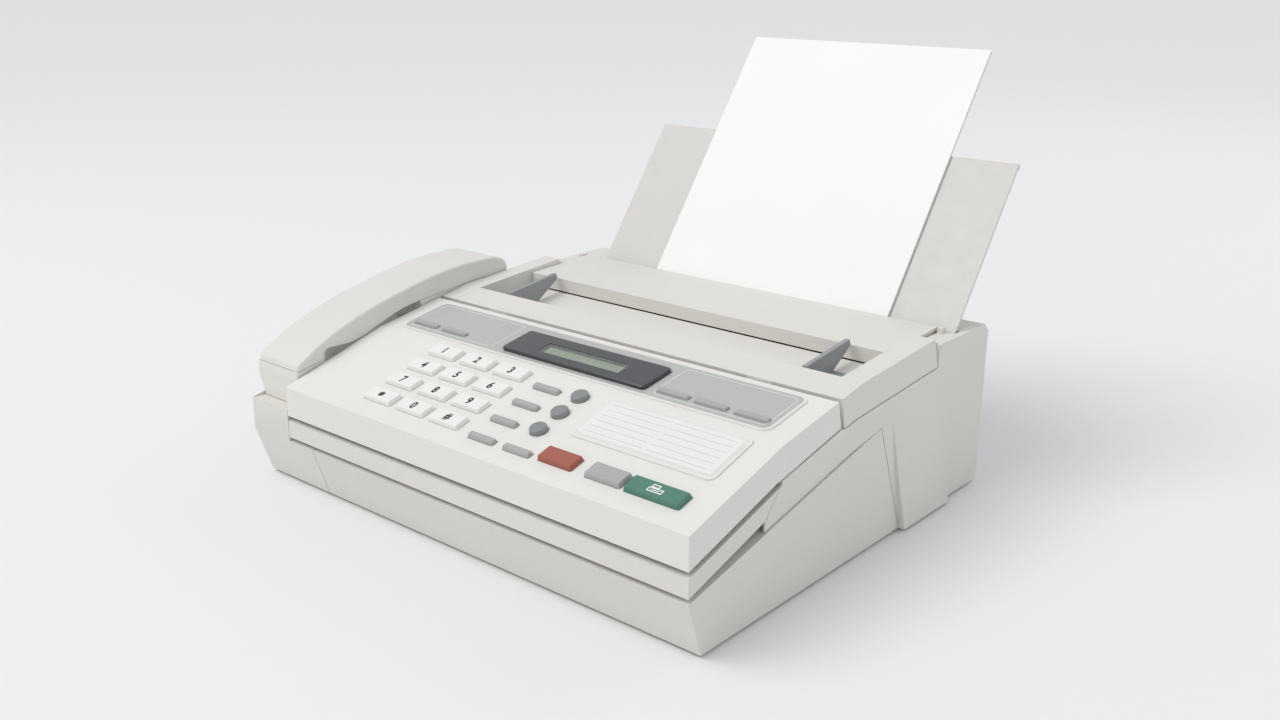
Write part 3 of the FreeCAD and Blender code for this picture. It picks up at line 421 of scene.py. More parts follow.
def display_strip():
    """The printed film on the raised strip, with a fine line round its groups of keys."""
    top = STRIP_PLATE["top"]
    holes = [plate_outline(DISPLAY, -0.3)]
    for key in MENU_KEYS:
        low, high = local_box(key, STRIP)
        middle = ((low.x + high.x) / 2, (low.y + high.y) / 2)
        holes.append(rounded_rectangle(*MENU_HOLE, middle, 3))
    bm = bmesh.new()
    sheet_with_holes(bm, plate_outline(STRIP_PLATE, 2.0), holes, top, top + FILM)
    piece("strip_film", bm, "panel", "panel_shell", "strip_film", STRIP)
    bm = bmesh.new()
    height, depth, radius, line = top + FILM, 36.0, 4.0, 0.35
    for left, right in ((-334.0, -250.0), (-106.0, -21.0)):
        middle = ((left + right) / 2, STRIP_PLATE["v"])
        outer = rounded_rectangle(right - left, depth, radius, middle)
        inner = rounded_rectangle(right - left - 2 * line, depth - 2 * line, radius - line,
                                  middle)
        sheet_with_holes(bm, outer, [inner], height, height + PRINT)
    piece("strip_border_print", bm, "panel", "panel_shell", "pale_ink", STRIP)


def display():
    """The bezel, its pane, and two rows of characters on the cell under the pane."""
    bm = cad_mesh("display_housing")
    soften(bm, sharp_edges(bm, SHARP), 0.35 * MM, 3)
    weighted(piece("display_bezel", bm, "panel", "display_frame", covers=["display_housing"],
                   smooth=40))
    bm = cad_mesh("display_window")
    soften(bm, sharp_edges(bm, SHARP), 0.2 * MM, 2)
    piece("display_pane", bm, "panel", "display_window", covers=["display_window"])
    centre = (WINDOW["x"], WINDOW["v"])
    width, depth = WINDOW["width"] - 4.2, WINDOW["depth"] - 3.2
    bm = bmesh.new()
    cell_top = 1.5
    slab(bm, rounded_rectangle(width, depth, 0.4, centre), 0.4, cell_top)
    piece("display_cell", bm, "panel", "display_window", "display_cell", STRIP)
    bm = bmesh.new()
    columns, rows = 20, 2
    step_x, step_v = width / (columns + 1.5), depth / (rows + 0.5)
    for column in range(columns):
        for row in range(rows):
            x = centre[0] + (column - (columns - 1) / 2) * step_x
            v = centre[1] + (row - (rows - 1) / 2) * step_v
            slab(bm, rounded_rectangle(step_x * 0.78, step_v * 0.82, 0.1, (x, v), 1),
                 cell_top, cell_top + PRINT)
    piece("display_characters", bm, "panel", "display_window", "display_dots", STRIP)


def index_card():
    """A ruled card under a clear cover on the raised plate, for the owner's own notes."""
    top = INDEX_PLATE["top"]
    bm = bmesh.new()
    slab(bm, plate_outline(INDEX_PLATE, 4.2), top, top + 0.2)
    piece("index_card", bm, "panel", "sheet_paper", "index_paper", KEYPAD)
    bm = bmesh.new()
    rows, columns, line = 6, 2, 0.11
    half_w, half_d = INDEX_PLATE["width"] / 2 - 8.0, INDEX_PLATE["depth"] / 2 - 7.5
    height = top + 0.2
    for column in range(columns):
        left = INDEX_PLATE["x"] - half_w + column * (half_w + 1.5)
        right = left + half_w - 1.5
        for row in range(rows):
            v = INDEX_PLATE["v"] - half_d + 2 * half_d * row / (rows - 1)
            outline = [(left, v - line), (right, v - line), (right, v + line), (left, v + line)]
            slab(bm, outline, height, height + PRINT)
    piece("index_card_rules", bm, "panel", "sheet_paper", "rule_ink", KEYPAD)
    bm = bmesh.new()
    slab(bm, plate_outline(INDEX_PLATE, 2.2), top + 0.35, top + 1.15, 0.3, 0.0)
    piece("index_card_cover", bm, "panel", "display_window", "card_cover", KEYPAD)


def keys():
    for name in KEYS:
        bm = cad_mesh(name)
        round_key = name.endswith("_button")
        edges = sharp_edges(bm, 20) if round_key else sharp_edges(bm, 10, 0.002)
        soften(bm, edges, 0.32 * MM, 3)
        weighted(piece(name + "_cap", bm, name, SLOT_OF[name], smooth=50, covers=[name]))


def glyph(text, size, bold=0.0):
    """A printed character as a flat mesh, centred on its own box, in millimetres."""
    curve = bpy.data.curves.new("glyph", "FONT")
    curve.body = text
    curve.size = size
    curve.offset = bold
    curve.extrude = PRINT / 2
    curve.resolution_u = 6
    holder = linked("glyph", curve)
    bpy.context.view_layer.update()
    mesh = bpy.data.meshes.new_from_object(holder)
    bm = bmesh.new()
    bm.from_mesh(mesh)
    bpy.data.objects.remove(holder)
    xs = [v.co.x for v in bm.verts]
    ys = [v.co.y for v in bm.verts]
    middle = Vector(((min(xs) + max(xs)) / 2, (min(ys) + max(ys)) / 2, 0))
    bmesh.ops.translate(bm, verts=bm.verts[:], vec=-middle)
    bmesh.ops.remove_doubles(bm, verts=bm.verts[:], dist=0.002)
    return bm


def asterisk(bm, radius, half):
    """A star of six straight rays, half is half a ray's width."""
    outline = []
    for ray in range(6):
        turn = math.radians(90 + 60 * ray)
        along = Vector((math.cos(turn), math.sin(turn)))
        across = Vector((-along.y, along.x))
        notch = turn + math.radians(30)
        outline += [along * radius - across * half, along * radius + across * half,
                    Vector((math.cos(notch), math.sin(notch))) * half * 1.15]
    slab(bm, [tuple(point) for point in outline], 0.0, PRINT)


NUMERAL_SIZE, NUMERAL_BOLD, NUMERAL_WIDTH = 9.2, 0.34, 0.82
STAR = (2.4, 0.95)              # its radius and half a ray's width


def legends():
    """The dark numerals printed on the number keys."""
    for name in NUMBER_KEYS:
        low, high = local_box(name, KEYPAD)
        middle = Vector(((low.x + high.x) / 2, (low.y + high.y) / 2, high.z + CLEARANCE))
        text = name.split("_")[1]
        if text == "star":
            bm = bmesh.new()
            asterisk(bm, *STAR)
        else:
            bm = glyph("#" if text == "hash" else text, NUMERAL_SIZE, NUMERAL_BOLD)
            bmesh.ops.scale(bm, verts=bm.verts[:], vec=(NUMERAL_WIDTH, 1.0, 1.0))
        bmesh.ops.translate(bm, verts=bm.verts[:], vec=middle)
        piece(name + "_legend", bm, name, "number_keys", "print_ink", KEYPAD)


def frame_outline(bm, low, high, line, t):
    """A printed rectangle drawn as a line."""
    outer = [(low[0], low[1]), (high[0], low[1]), (high[0], high[1]), (low[0], high[1])]
    inner = [(low[0] + line, low[1] + line), (high[0] - line, low[1] + line),
             (high[0] - line, high[1] - line), (low[0] + line, high[1] - line)]
    sheet_with_holes(bm, outer, [inner], t, t + PRINT)


def start_symbol():
    """A generic sign on the start key: a sheet going into a machine."""
    low, high = local_box("start_key", KEYPAD)
    x, v, t = (low.x + high.x) / 2, (low.y + high.y) / 2, high.z + CLEARANCE
    line = 0.75
    bm = bmesh.new()
    frame_outline(bm, (x - 5.2, v - 3.0), (x + 5.2, v + 0.6), line, t)
    frame_outline(bm, (x - 4.0, v + 0.6), (x + 1.4, v + 3.4), line, t)
    slab(bm, [(x - 3.2, v - 1.5), (x + 3.2, v - 1.5), (x + 3.2, v - 0.9), (x - 3.2, v - 0.9)],
         t, t + PRINT)
    piece("start_key_symbol", bm, "start_key", "start_key", "pale_ink", KEYPAD)


def dome_mat():
    """The rubber mat on the keypad's circuit board, with a dome under each key."""
    board = slope(*KEYPAD_BOARD)
    back = board.inverted()
    bm = bmesh.new()
    slab(bm, rounded_rectangle(326, 121, 3, (-177, 64.5)), 0.02, 0.12, 0.02)
    piece("key_dome_mat", bm, "panel", "foot_rubber", matrix=board)
    foot, waist, tip_radius = 4.4, 2.9, 2.2
    for name in KEYS:
        points = [back @ v.co for v in NODES[name].data.vertices]
        lowest = min(p.z for p in points)
        tip = [p for p in points if p.z < lowest + 1.0]
        centre = (sum(p.x for p in tip) / len(tip), sum(p.y for p in tip) / len(tip), 0)
        top = lowest - 0.15
        bm = bmesh.new()
        lathe(bm, [(0.08, foot), (0.3, foot - 0.2), (top * 0.7, waist), (top, tip_radius)],
              centre, "z", 20)
        dome = piece(name + "_dome", bm, "panel", "foot_rubber", matrix=board)
        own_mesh(dome)


# ---- the handset ------------
# Lines in casing (y, z), front to rear: the back over the top, the seam between the two
# halves, and the underside of the grip between the mouth block and the ear block.
NOSE = [(11.6, 82.7), (12.5, 86.0), (13.9, 87.8)]
HANDSET_TOP = [(13.9, 87.8), (28.7, 96.4), (81.0, 115.9), (108.8, 122.3), (126.1, 126.0),
               (179.4, 131.4), (206.9, 129.0), (211.5, 126.4), (214.4, 119.6), (213.6, 117.2)]
SEAM = [(33.0, 86.3), (33.6, 90.6), (37.5, 94.0), (46.0, 94.3), (58.0, 94.0), (70.0, 96.6),
        (83.0, 101.4), (96.7, 106.2), (111.5, 110.0), (123.3, 111.6), (150.0, 114.0),
        (180.0, 116.8)]
GRIP_UNDER = [(35.0, 85.5), (35.4, 89.9), (38.3, 92.3), (46.0, 92.6), (58.0, 92.2),
              (70.4, 94.9), (83.5, 99.7), (97.0, 104.5), (111.8, 108.3), (121.0, 109.6),
              (123.8, 108.6)]
MOUTH_FRONT = [(9.2, 58.9), (10.3, 70.0), (10.6, 77.4)]
MOUTH_REAR = (41.0, 58.9)
EAR_V = (132.2, 214.0)          # the ear block's underside along the cradle's slope
EAR_T = -4.4
GRIP_ENDS = (35.6, 123.2)       # between these the face is only the strip under the grip
GRIP_INSET = 3.2
BLOCK_FLARE = 7.9               # how much wider the blocks are on each side at the top
FLARE_HEIGHTS = (0.5, 15.0)     # where they widen, above the cradle's rim
SEAM_GAP = 0.35
FACE_FRONT, FACE_REAR = (11.5, 82.65), (212.6, 117.0)   # the seam's ends on the face
CREASE = 2.0                    # rounding of the back's long edges


def through(points, steps=6):
    """A smooth line through a few (y, z) points, however unevenly they are spaced."""
    places = [Vector(point) for point in points]
    runs = [end - start for start, end in zip(places, places[1:])]
    headings = [runs[0].normalized()]
    for before, after in zip(runs, runs[1:]):
        mixed = before.normalized() * after.length + after.normalized() * before.length
        headings.append(mixed / (before.length + after.length))
    headings.append(runs[-1].normalized())
    line = []
    for start, run, first, last in zip(places, runs, headings, headings[1:]):
        for step in range(steps):
            s = step / steps
            leaving = first * (s - 2 * s ** 2 + s ** 3)
            arriving = last * (s ** 3 - s ** 2)
            point = start + run * (3 * s ** 2 - 2 * s ** 3) + (leaving + arriving) * run.length
            line.append(tuple(point))
    return line + [tuple(places[-1])]


def side_slab(bm, outline, x_range, rounding, segments=6, rounded=None):
    """A (y, z) outline carried along x, its rims rounded beside the points rounded."""
    first = [bm.verts.new((x_range[0], y, z)) for y, z in outline]
    face = bm.faces.new(first)
    raised = bmesh.ops.extrude_face_region(bm, geom=[face])
    second = [v for v in raised["geom"] if isinstance(v, bmesh.types.BMVert)]
    bmesh.ops.translate(bm, verts=second, vec=(x_range[1] - x_range[0], 0, 0))
    places = [Vector(point) for point in (rounded or outline)]
    for corners in (first, second):
        group = {v for v in corners if any((v.co.yz - p).length < 0.01 for p in places)}
        rim = list({e for v in group for e in v.link_edges if e.other_vert(v) in group})
        soften(bm, rim, rounding, segments, clamp=False)


def combined(made, other, operation="DIFFERENCE"):
    """Takes one shape away from another or adds it, for good."""
    modifier = made.modifiers.new("cut", "BOOLEAN")
    modifier.object = other
    modifier.operation = operation
    modifier.solver = "EXACT"
    bpy.context.view_layer.update()
    graph = bpy.context.evaluated_depsgraph_get()
    mesh = bpy.data.meshes.new_from_object(made.evaluated_get(graph))
    made.modifiers.clear()
    made.data = mesh
    bpy.data.objects.remove(other)


def plain_object(bm, matrix):
    return linked("shape", mesh_of("shape", bm, matrix))


def holes_in_rings(centre, rings, pitch, radius):
    """Round holes on rings round a middle one."""
    outlines = []
    for ring_number in range(rings + 1):
        count = max(1, 6 * ring_number)
        for i in range(count):
            turn = 2 * math.pi * i / count
            x = centre[0] + ring_number * pitch * math.cos(turn)
            v = centre[1] + ring_number * pitch * math.sin(turn)
            outlines.append([(x + radius * math.cos(a * math.pi / 6),
                              v + radius * math.sin(a * math.pi / 6)) for a in range(12)])
    return outlines


def grille(name, matrix, centre, radius, rings, t):
    """A perforated disc let into the handset's face, over a dark cloth."""
    disc = [(centre[0] + radius * math.cos(a * math.pi / 24),
             centre[1] + radius * math.sin(a * math.pi / 24)) for a in range(48)]
    bm = bmesh.new()
    sheet_with_holes(bm, disc, holes_in_rings(centre, rings, 2.9, 0.85), t, t + 0.7)
    piece(name, bm, "handset", "handset_plastic", matrix=matrix)
    bm = bmesh.new()
    lathe(bm, [(t + 0.75, radius - 0.3), (t + 1.1, radius - 0.3)], (*centre, 0), "z", 40)
    piece(name + "_cloth", bm, "handset", "handset_plastic", "inner_plastic", matrix)


def on_cradle(v, t):
    """The casing's (y, z) of a point of the cradle's slope."""
    point = LEVEL.inverted() @ (CRADLE @ Vector((0, v, t)))
    return point.y, point.z


def narrowed(bm, sides):
    """Draws a block in towards its underside, in a quarter of a sine wave."""
    up = Vector((0, -math.sin(CRADLE_TILT), math.cos(CRADLE_TILT)))
    rim = Vector((0, *on_cradle(0, 0)))
    low, high = FLARE_HEIGHTS
    levels = 12
    for i in range(levels + 1):
        height = low + (high - low) * i / levels
        bmesh.ops.bisect_plane(bm, geom=bm.verts[:] + bm.edges[:] + bm.faces[:],
                               plane_co=rim + up * height, plane_no=up)
    middle, half = sum(sides) / 2, (sides[1] - sides[0]) / 2
    for v in bm.verts:
        share = min(1.0, max(0.0, ((v.co - rim).dot(up) - low) / (high - low)))
        inset = BLOCK_FLARE * (1 - math.sin(share * math.pi / 2))
        v.co.x = middle + (v.co.x - middle) * (half - inset) / half


def handset():
    """Two half shells: the back curves over, the face holds the ear and the mouth."""
    low, high = local_box("handset_back", LEVEL)
    sides = (low.x, high.x)
    over = through(NOSE, 4)[:-1] + through(HANDSET_TOP, 8)
    seam = through(SEAM, 4)
    bm = bmesh.new()
    side_slab(bm, over + seam[::-1], sides, CREASE, rounded=over)
    weighted(piece("handset_back_shell", bm, "handset", "handset_plastic",
                   matrix=LEVEL, smooth=50, covers=["handset_back"]))
    upper = [(y, z - SEAM_GAP) for y, z in seam]
    under = through(GRIP_UNDER, 4)
    front, rear = GRIP_ENDS
    mouth = ([(FACE_FRONT[0], FACE_FRONT[1] - SEAM_GAP)] + [p for p in upper if p[0] < front]
             + [p for p in under if p[0] < front][::-1] + [MOUTH_REAR] + MOUTH_FRONT)
    ear = ([p for p in upper if p[0] > rear] + [(FACE_REAR[0], FACE_REAR[1] - SEAM_GAP)]
           + [on_cradle(v, EAR_T) for v in EAR_V[::-1]]
           + [p for p in under if p[0] > rear][::-1])
    strip = ([(y, z - 0.05) for y, z in upper if front - 1.5 < y < rear + 2]
             + [(y, z) for y, z in under if front - 0.4 < y < rear][::-1])
    shapes = []
    for outline in (mouth, ear):
        bm = bmesh.new()
        side_slab(bm, outline, sides, 0.7, 3)
        narrowed(bm, sides)
        shapes.append(bm)
    made = piece("handset_face_shell", shapes[0], "handset", "handset_plastic", matrix=LEVEL,
                 smooth=50, covers=["handset_face"])
    combined(made, plain_object(shapes[1], LEVEL), "UNION")
    bm = bmesh.new()
    side_slab(bm, strip, (sides[0] + GRIP_INSET, sides[1] - GRIP_INSET), 0.4, 2)
    combined(made, plain_object(bm, LEVEL), "UNION")
    middle = sum(sides) / 2
    for name, matrix, place, radius, rings, t in (
            ("mouth_grille", LEVEL, (middle, 25.0), 10.0, 2, MOUTH_FRONT[0][1]),
            ("ear_grille", CRADLE, (middle, 188.0), 13.0, 3, EAR_T)):
        bm = bmesh.new()
        lathe(bm, [(t - 1.0, radius + 0.1), (t + 2.2, radius + 0.1)], (*place, 0), "z", 48)
        combined(made, plain_object(bm, matrix))
        grille(name, matrix, place, radius, rings, t + 0.25)
    cord_socket(sides[0], (22.0, 77.0), "handset", made)
    cord_socket(local_box("handset_cradle", LEVEL)[0].x, (66.0, 24.0), "chassis")
    made.data.shade_smooth()
    made.data.set_sharp_from_angle(angle=math.radians(SHARP))
    weighted(made)


def cord_socket(x, centre, body, shell=None):
    """A socket for the handset's cord, open to the left at x, and its four contacts."""
    y, z = centre
    if shell:
        for width, low, high in ((7.7, -2.8, 2.8), (3.2, 2.3, 4.1)):
            bm = bmesh.new()
            box_part(bm, (x - 1, x + 9), (y - width / 2, y + width / 2), (z + low, z + high), 0)
            combined(shell, plain_object(bm, LEVEL))
    bm = bmesh.new()
    for i in range(4):
        wire = y + HANDSET_JACK_PITCH * (i - 1.5)
        box_part(bm, (x + 2.0, x + 8.9), (wire - 0.2, wire + 0.2), (z - 2.1, z - 1.7), 0.08, 1)
    piece(body + "_cord_contacts", bm, body, "sensor_black", "gold", LEVEL)


# ---- sheets, rollers and what is inside ------------
def sheets():
    """Loose sheets in the rear feeder, not quite square to each other."""
    low, high = local_box("paper_stack", SHEET)
    count, rows, thick = 8, 24, 0.1
    step = (high.z - low.z) / count
    luck = random.Random(7)
    for number in range(count):
        left = low.x + luck.uniform(0.0, 0.5)
        right = high.x - luck.uniform(0.0, 0.5)
        top = high.y - luck.uniform(0.0, 1.1) * (number < count - 1)
        bm = bmesh.new()
        base = low.z + step * number + 0.03
        corners = []
        for row in range(rows + 1):
            v = low.y + (top - low.y) * row / rows
            ripple = 0.02 * math.sin(row * 0.9 + number)
            corners.append([bm.verts.new((x, v, base + ripple + lift))
                            for x, lift in ((left, 0.0), (right, 0.0), (right, thick),
                                            (left, thick))])
        skin(bm, corners)
        covers = ["paper_stack"] if number == 0 else []
        piece(f"sheet_{number + 1}", bm, "sheets", "sheet_paper", matrix=SHEET, covers=covers)


def axle_of(cad_node):
    """A roller's centre as casing (y, z) and its box, in millimetres."""
    low, high = local_box(cad_node, LEVEL)
    return (low.y + high.y) / 2, (low.z + high.z) / 2, low, high


def shaft(name, cad_node, body, covers=()):
    y, z, low, high = axle_of(cad_node)
    bm = bmesh.new()
    radius, chamfer = 3.0, 0.5
    lathe(bm, [(low.x, radius - chamfer), (low.x + chamfer, radius),
               (high.x - chamfer, radius), (high.x, radius - chamfer)], (0, y, z), "x", 32)
    piece(name, bm, body, SLOT_OF[cad_node], "shaft_steel", LEVEL, covers=covers)
    return y, z, low, high


FILM_INSET = 1.2                # how far the wound film stays inside the flanges


def rollers():
    for cad_node, spans in (
            ("document_roller", [(-331, -23)]), ("platen_roller", [(-300, -24)]),
            ("pick_roller", [(-249, -221), (-176, -148), (-103, -75)])):
        body = BODY_OF[cad_node]
        y, z, low, high = shaft(cad_node + "_shaft", cad_node, body, [cad_node])
        radius = (high.z - low.z) / 2
        bm = bmesh.new()
        for x0, x1 in spans:
            profile = [(x0, 3.2), (x0, radius - 0.6), (x0 + 0.6, radius), (x1 - 0.6, radius),
                       (x1, radius - 0.6), (x1, 3.2)]
            lathe(bm, profile, (0, y, z), "x", 64)
        piece(cad_node + "_sleeve", bm, body, "roller_rubber", matrix=LEVEL)
    for cad_node in ("film_takeup_spool", "film_supply_spool"):
        body = BODY_OF[cad_node]
        y, z, low, high = shaft(cad_node + "_shaft", cad_node, body, [cad_node])
        rim = (high.z - low.z) / 2
        bm = bmesh.new()
        wound = rim - FILM_INSET
        lathe(bm, [(-274, 6.0), (-273.8, wound - 0.1), (-273.6, wound), (-50.4, wound),
                   (-50.2, wound - 0.1), (-50, 6.0)], (0, y, z), "x", 64)
        piece(cad_node + "_film", bm, body, "ink_film", matrix=LEVEL)
        bm = bmesh.new()
        for x in (-276, -50):
            lathe(bm, [(x, 3.2), (x, rim - 0.3), (x + 0.3, rim), (x + 1.7, rim),
                       (x + 2, rim - 0.3), (x + 2, 3.2)], (0, y, z), "x", 48)
        piece(cad_node + "_flanges", bm, body, "ink_film", "support_plastic", LEVEL)


def ink_web():
    """The ink film from the supply spool, under the head, up to the take-up spool."""
    supply_y, supply_z, low, high = axle_of("film_supply_spool")
    supply_r = (high.z - low.z) / 2 - FILM_INSET
    take_y, take_z, low, high = axle_of("film_takeup_spool")
    take_r = (high.z - low.z) / 2 - FILM_INSET
    under = local_box("print_head", LEVEL)[0].z - 0.22
    path = [(supply_y - supply_r * 0.94, supply_z - supply_r * 0.34),
            (240.6, under + 3.0), (239.0, under + 0.35), (236.0, under), (228.0, under),
            (225.0, under + 0.35), (223.6, under + 3.0),
            (take_y - take_r * 0.995, take_z - take_r * 0.08)]
    x0, x1, half = -273.0, -51.0, 0.045
    bm = bmesh.new()
    rows = []
    for i, (y, z) in enumerate(path):
        before, after = path[max(i - 1, 0)], path[min(i + 1, len(path) - 1)]
        along = Vector((after[0] - before[0], after[1] - before[1])).normalized()
        side = Vector((-along.y, along.x)) * half
        rows.append([bm.verts.new((x, y + s * side.x, z + s * side.y))
                     for x, s in ((x0, 1), (x1, 1), (x1, -1), (x0, -1))])
    skin(bm, rows)
    piece("ink_film_web", bm, "chassis", "ink_film", matrix=LEVEL)


def print_and_scan():
    softened("print_head", 0.25)
    bm = bmesh.new()
    box_part(bm, (-296, -28), (227.5, 236.5), (66.95, 67.6), 0.12)
    piece("print_head_ceramic", bm, "chassis", "heat_sink", "index_paper", LEVEL)
    softened("image_sensor", 0.4)
    (front_y, front_z), (rear_y, rear_z) = (95.0, 77.4), (112.0, 81.0)
    pane = slope(front_y, front_z, math.atan2(rear_z - front_z, rear_y - front_y))
    bm = bmesh.new()
    slab(bm, rounded_rectangle(236, 13.0, 0.6, (-177, 8.6)), 0.01, 0.5, 0.12)
    piece("image_sensor_glass", bm, "chassis", "display_window", matrix=pane)


def toothed(bm, teeth, root, tip, x0, x1, centre):
    """A small straight-toothed pinion along x."""
    corners = []
    for tooth in range(teeth):
        for share, radius in ((0.0, root), (0.2, tip), (0.5, tip), (0.7, root)):
            turn = 2 * math.pi * (tooth + share) / teeth
            corners.append((centre[0] + radius * math.cos(turn),
                            centre[1] + radius * math.sin(turn)))
    side_slab(bm, corners, (x0, x1), 0.12, 1)


def motor():
    axle = (205.0, 62.0)
    softened("feed_motor", 0.5)
    bm = bmesh.new()
    toothed(bm, 12, 3.2, 4.4, -15.0, -9.6, axle)
    piece("motor_pinion", bm, "chassis", "motor_steel", "gold", LEVEL)
    bm = bmesh.new()
    lathe(bm, [(-36.5, 17.3), (-36.5, 17.75), (-31.0, 17.75), (-31.0, 17.3)],
          (0, *axle), "x", 64)
    piece("motor_band", bm, "chassis", "motor_steel", "sensor_black", LEVEL)


PIN_PITCH = 2.5


def chip(bodies, pins, x, y, height):
    """A flat chip with a row of legs down each long side."""
    z = BOARD_TOP
    box_part(bodies, x, y, (z, z + height), 0.3, 1)
    count = int((y[1] - y[0] - 1.5) / PIN_PITCH) + 1
    first = (y[0] + y[1]) / 2 - PIN_PITCH * (count - 1) / 2
    for side, edge in ((-1, x[0]), (1, x[1])):
        for i in range(count):
            v = first + PIN_PITCH * i
            reach = sorted((edge, edge + side * 1.5))
            box_part(pins, tuple(reach), (v - 0.35, v + 0.35), (z - 0.1, z + height * 0.45), 0)


def can(sleeves, tops, x, y, radius, height):
    """An upright capacitor: a printed sleeve and a metal top."""
    z, top = BOARD_TOP, BOARD_TOP + height
    lathe(sleeves, [(z, radius - 0.3), (z + 0.6, radius), (top - 0.7, radius),
                    (top - 0.3, radius - 0.5), (top - 0.5, radius - 1.1)], (x, y, 0), "z", 36)
    lathe(tops, [(top - 1.2, radius - 1.0), (top - 0.35, radius - 1.05)], (x, y, 0), "z", 36)


def plug_socket(bm, x, y, ways):
    """The pale shroud of a row of pins."""
    box_part(bm, (x, x + PIN_PITCH * ways + 2), (y, y + 5.5), (BOARD_TOP, BOARD_TOP + 7.5),
             0.3, 1)


def boards():
    low, high = local_box("main_board", LEVEL)
    bm = bmesh.new()
    outline = rounded_rectangle(high.x - low.x, high.y - low.y, 2.0,
                                ((low.x + high.x) / 2, (low.y + high.y) / 2))
    hole_places = [(low.x + 5, low.y + 5), (high.x - 5, low.y + 5), (low.x + 5, high.y - 5),
                   (high.x - 5, high.y - 5)]
    holes = [rounded_rectangle(3.4, 3.4, 1.6, place, 3) for place in hole_places]
    sheet_with_holes(bm, outline, holes, low.z, BOARD_TOP)
    piece("main_circuit_board", bm, "chassis", "circuit_board", matrix=LEVEL,
          covers=["main_board"])
    bodies, pins, sleeves, tops, shrouds = (bmesh.new() for _ in range(5))
    for x, y, height in (((-290, -264), (60, 86), 2.8), ((-240, -222), (60, 78), 2.4),
                         ((-200, -182), (100, 118), 2.6), ((-150, -134), (60, 88), 3.0),
                         ((-246, -236), (100, 128), 2.6), ((-276, -266), (100, 128), 2.6)):
        chip(bodies, pins, x, y, height)
    for x, y in ((-90, 70), (-75, 70), (-90, 95)):
        can(sleeves, tops, x, y, 5.0, 14.5)
    for i in range(4):
        plug_socket(shrouds, -250 + 42 * i, 184, 6 + 2 * (i % 2))
    for i in range(18):
        x = -286 + 12.4 * i
        for y in (44, 150):
            box_part(bodies, (x, x + 2.0), (y, y + 3.2), (BOARD_TOP, BOARD_TOP + 0.9), 0.1, 1)
    for name, bm, material in (("main_board_chips", bodies, "chip_black"),
                               ("main_board_legs", pins, "solder"),
                               ("main_board_cans", sleeves, "can_sleeve"),
                               ("main_board_can_tops", tops, "solder"),
                               ("main_board_sockets", shrouds, "index_paper")):
        piece(name, bm, "chassis", "circuit_board", material, LEVEL)


def power():
    """The power board: transformer, choke, cans, and the mains inlet at its back edge."""
    bm = bmesh.new()
    sheet_with_holes(bm, rounded_rectangle(210, 82, 2.0, (-125, 277)), [], 8.0, BOARD_TOP)
    for x in (-220, -30):
        for y in (244, 310):
            lathe(bm, [(2.5, 4.0), (7.9, 4.0)], (x, y, 0), "z", 24)
    piece("power_board", bm, "chassis", "circuit_board", matrix=LEVEL, covers=["power_supply"])
    core, coil, sleeves, tops, inlet, pins = (bmesh.new() for _ in range(6))
    for i in range(10):
        x = -189.5 + 3.9 * i
        box_part(core, (x, x + 3.5), (254, 286), (BOARD_TOP, 39.6), 0.15, 1)
    box_part(coil, (-188, -152), (250.5, 289.5), (14, 34), 3.0, 4)
    box_part(core, (-119, -101), (251, 299), (BOARD_TOP, 33.6), 1.5, 3)
    for x in (-72, -48):
        can(sleeves, tops, x, 262, 9.0, 27.6)
    box_part(core, (-94, -90), (276, 312), (BOARD_TOP, 33), 0.2, 1)
    inlet_x, inlet_z = -50, 25
    outer = rounded_rectangle(23.2, 17.2, 1.2, (inlet_x, inlet_z))
    mouth = rounded_rectangle(19.2, 13.2, 2.2, (inlet_x, inlet_z))
    sheet_with_holes(inlet, outer, [mouth], -332.9, -319.0)
    sheet_with_holes(inlet, outer, [], -318.98, -312.0)
    inlet.transform(Matrix.Rotation(math.pi / 2, 4, "X"))
    for side in (-4.5, 4.5):
        lathe(pins, [(318.5, 1.2), (326.0, 1.2), (326.5, 0.8)], (inlet_x + side, 0, inlet_z),
              "y", 20)
    for name, bm, slot, material in (
            ("transformer_core", core, "motor_steel", "motor_steel"),
            ("transformer_winding", coil, "circuit_board", "copper"),
            ("power_cans", sleeves, "circuit_board", "can_sleeve"),
            ("power_can_tops", tops, "circuit_board", "solder"),
            ("mains_inlet", inlet, "sensor_black", "sensor_black"),
            ("mains_inlet_pins", pins, "circuit_board", "gold")):
        piece(name, bm, "chassis", slot, material, LEVEL)


JACK_PITCH, HANDSET_JACK_PITCH = 1.27, 1.02


def jacks():
    """The phone sockets and four bent contact wires in each."""
    softened("phone_jacks", 0.25)
    bm = bmesh.new()
    path = [(321.0, 24.0), (323.0, 23.6), (330.6, 19.6), (331.2, 18.4)]
    outline = path + [(y, z + 0.45) for y, z in path[::-1]]     # 0.45 mm thick
    for x in (-150.5, -131.5):
        for i in range(4):
            wire = x - 1.9 + JACK_PITCH * i
            side_slab(bm, outline, (wire - 0.22, wire + 0.22), 0.05, 1)
    piece("jack_contacts", bm, "chassis", "sensor_black", "gold", LEVEL)


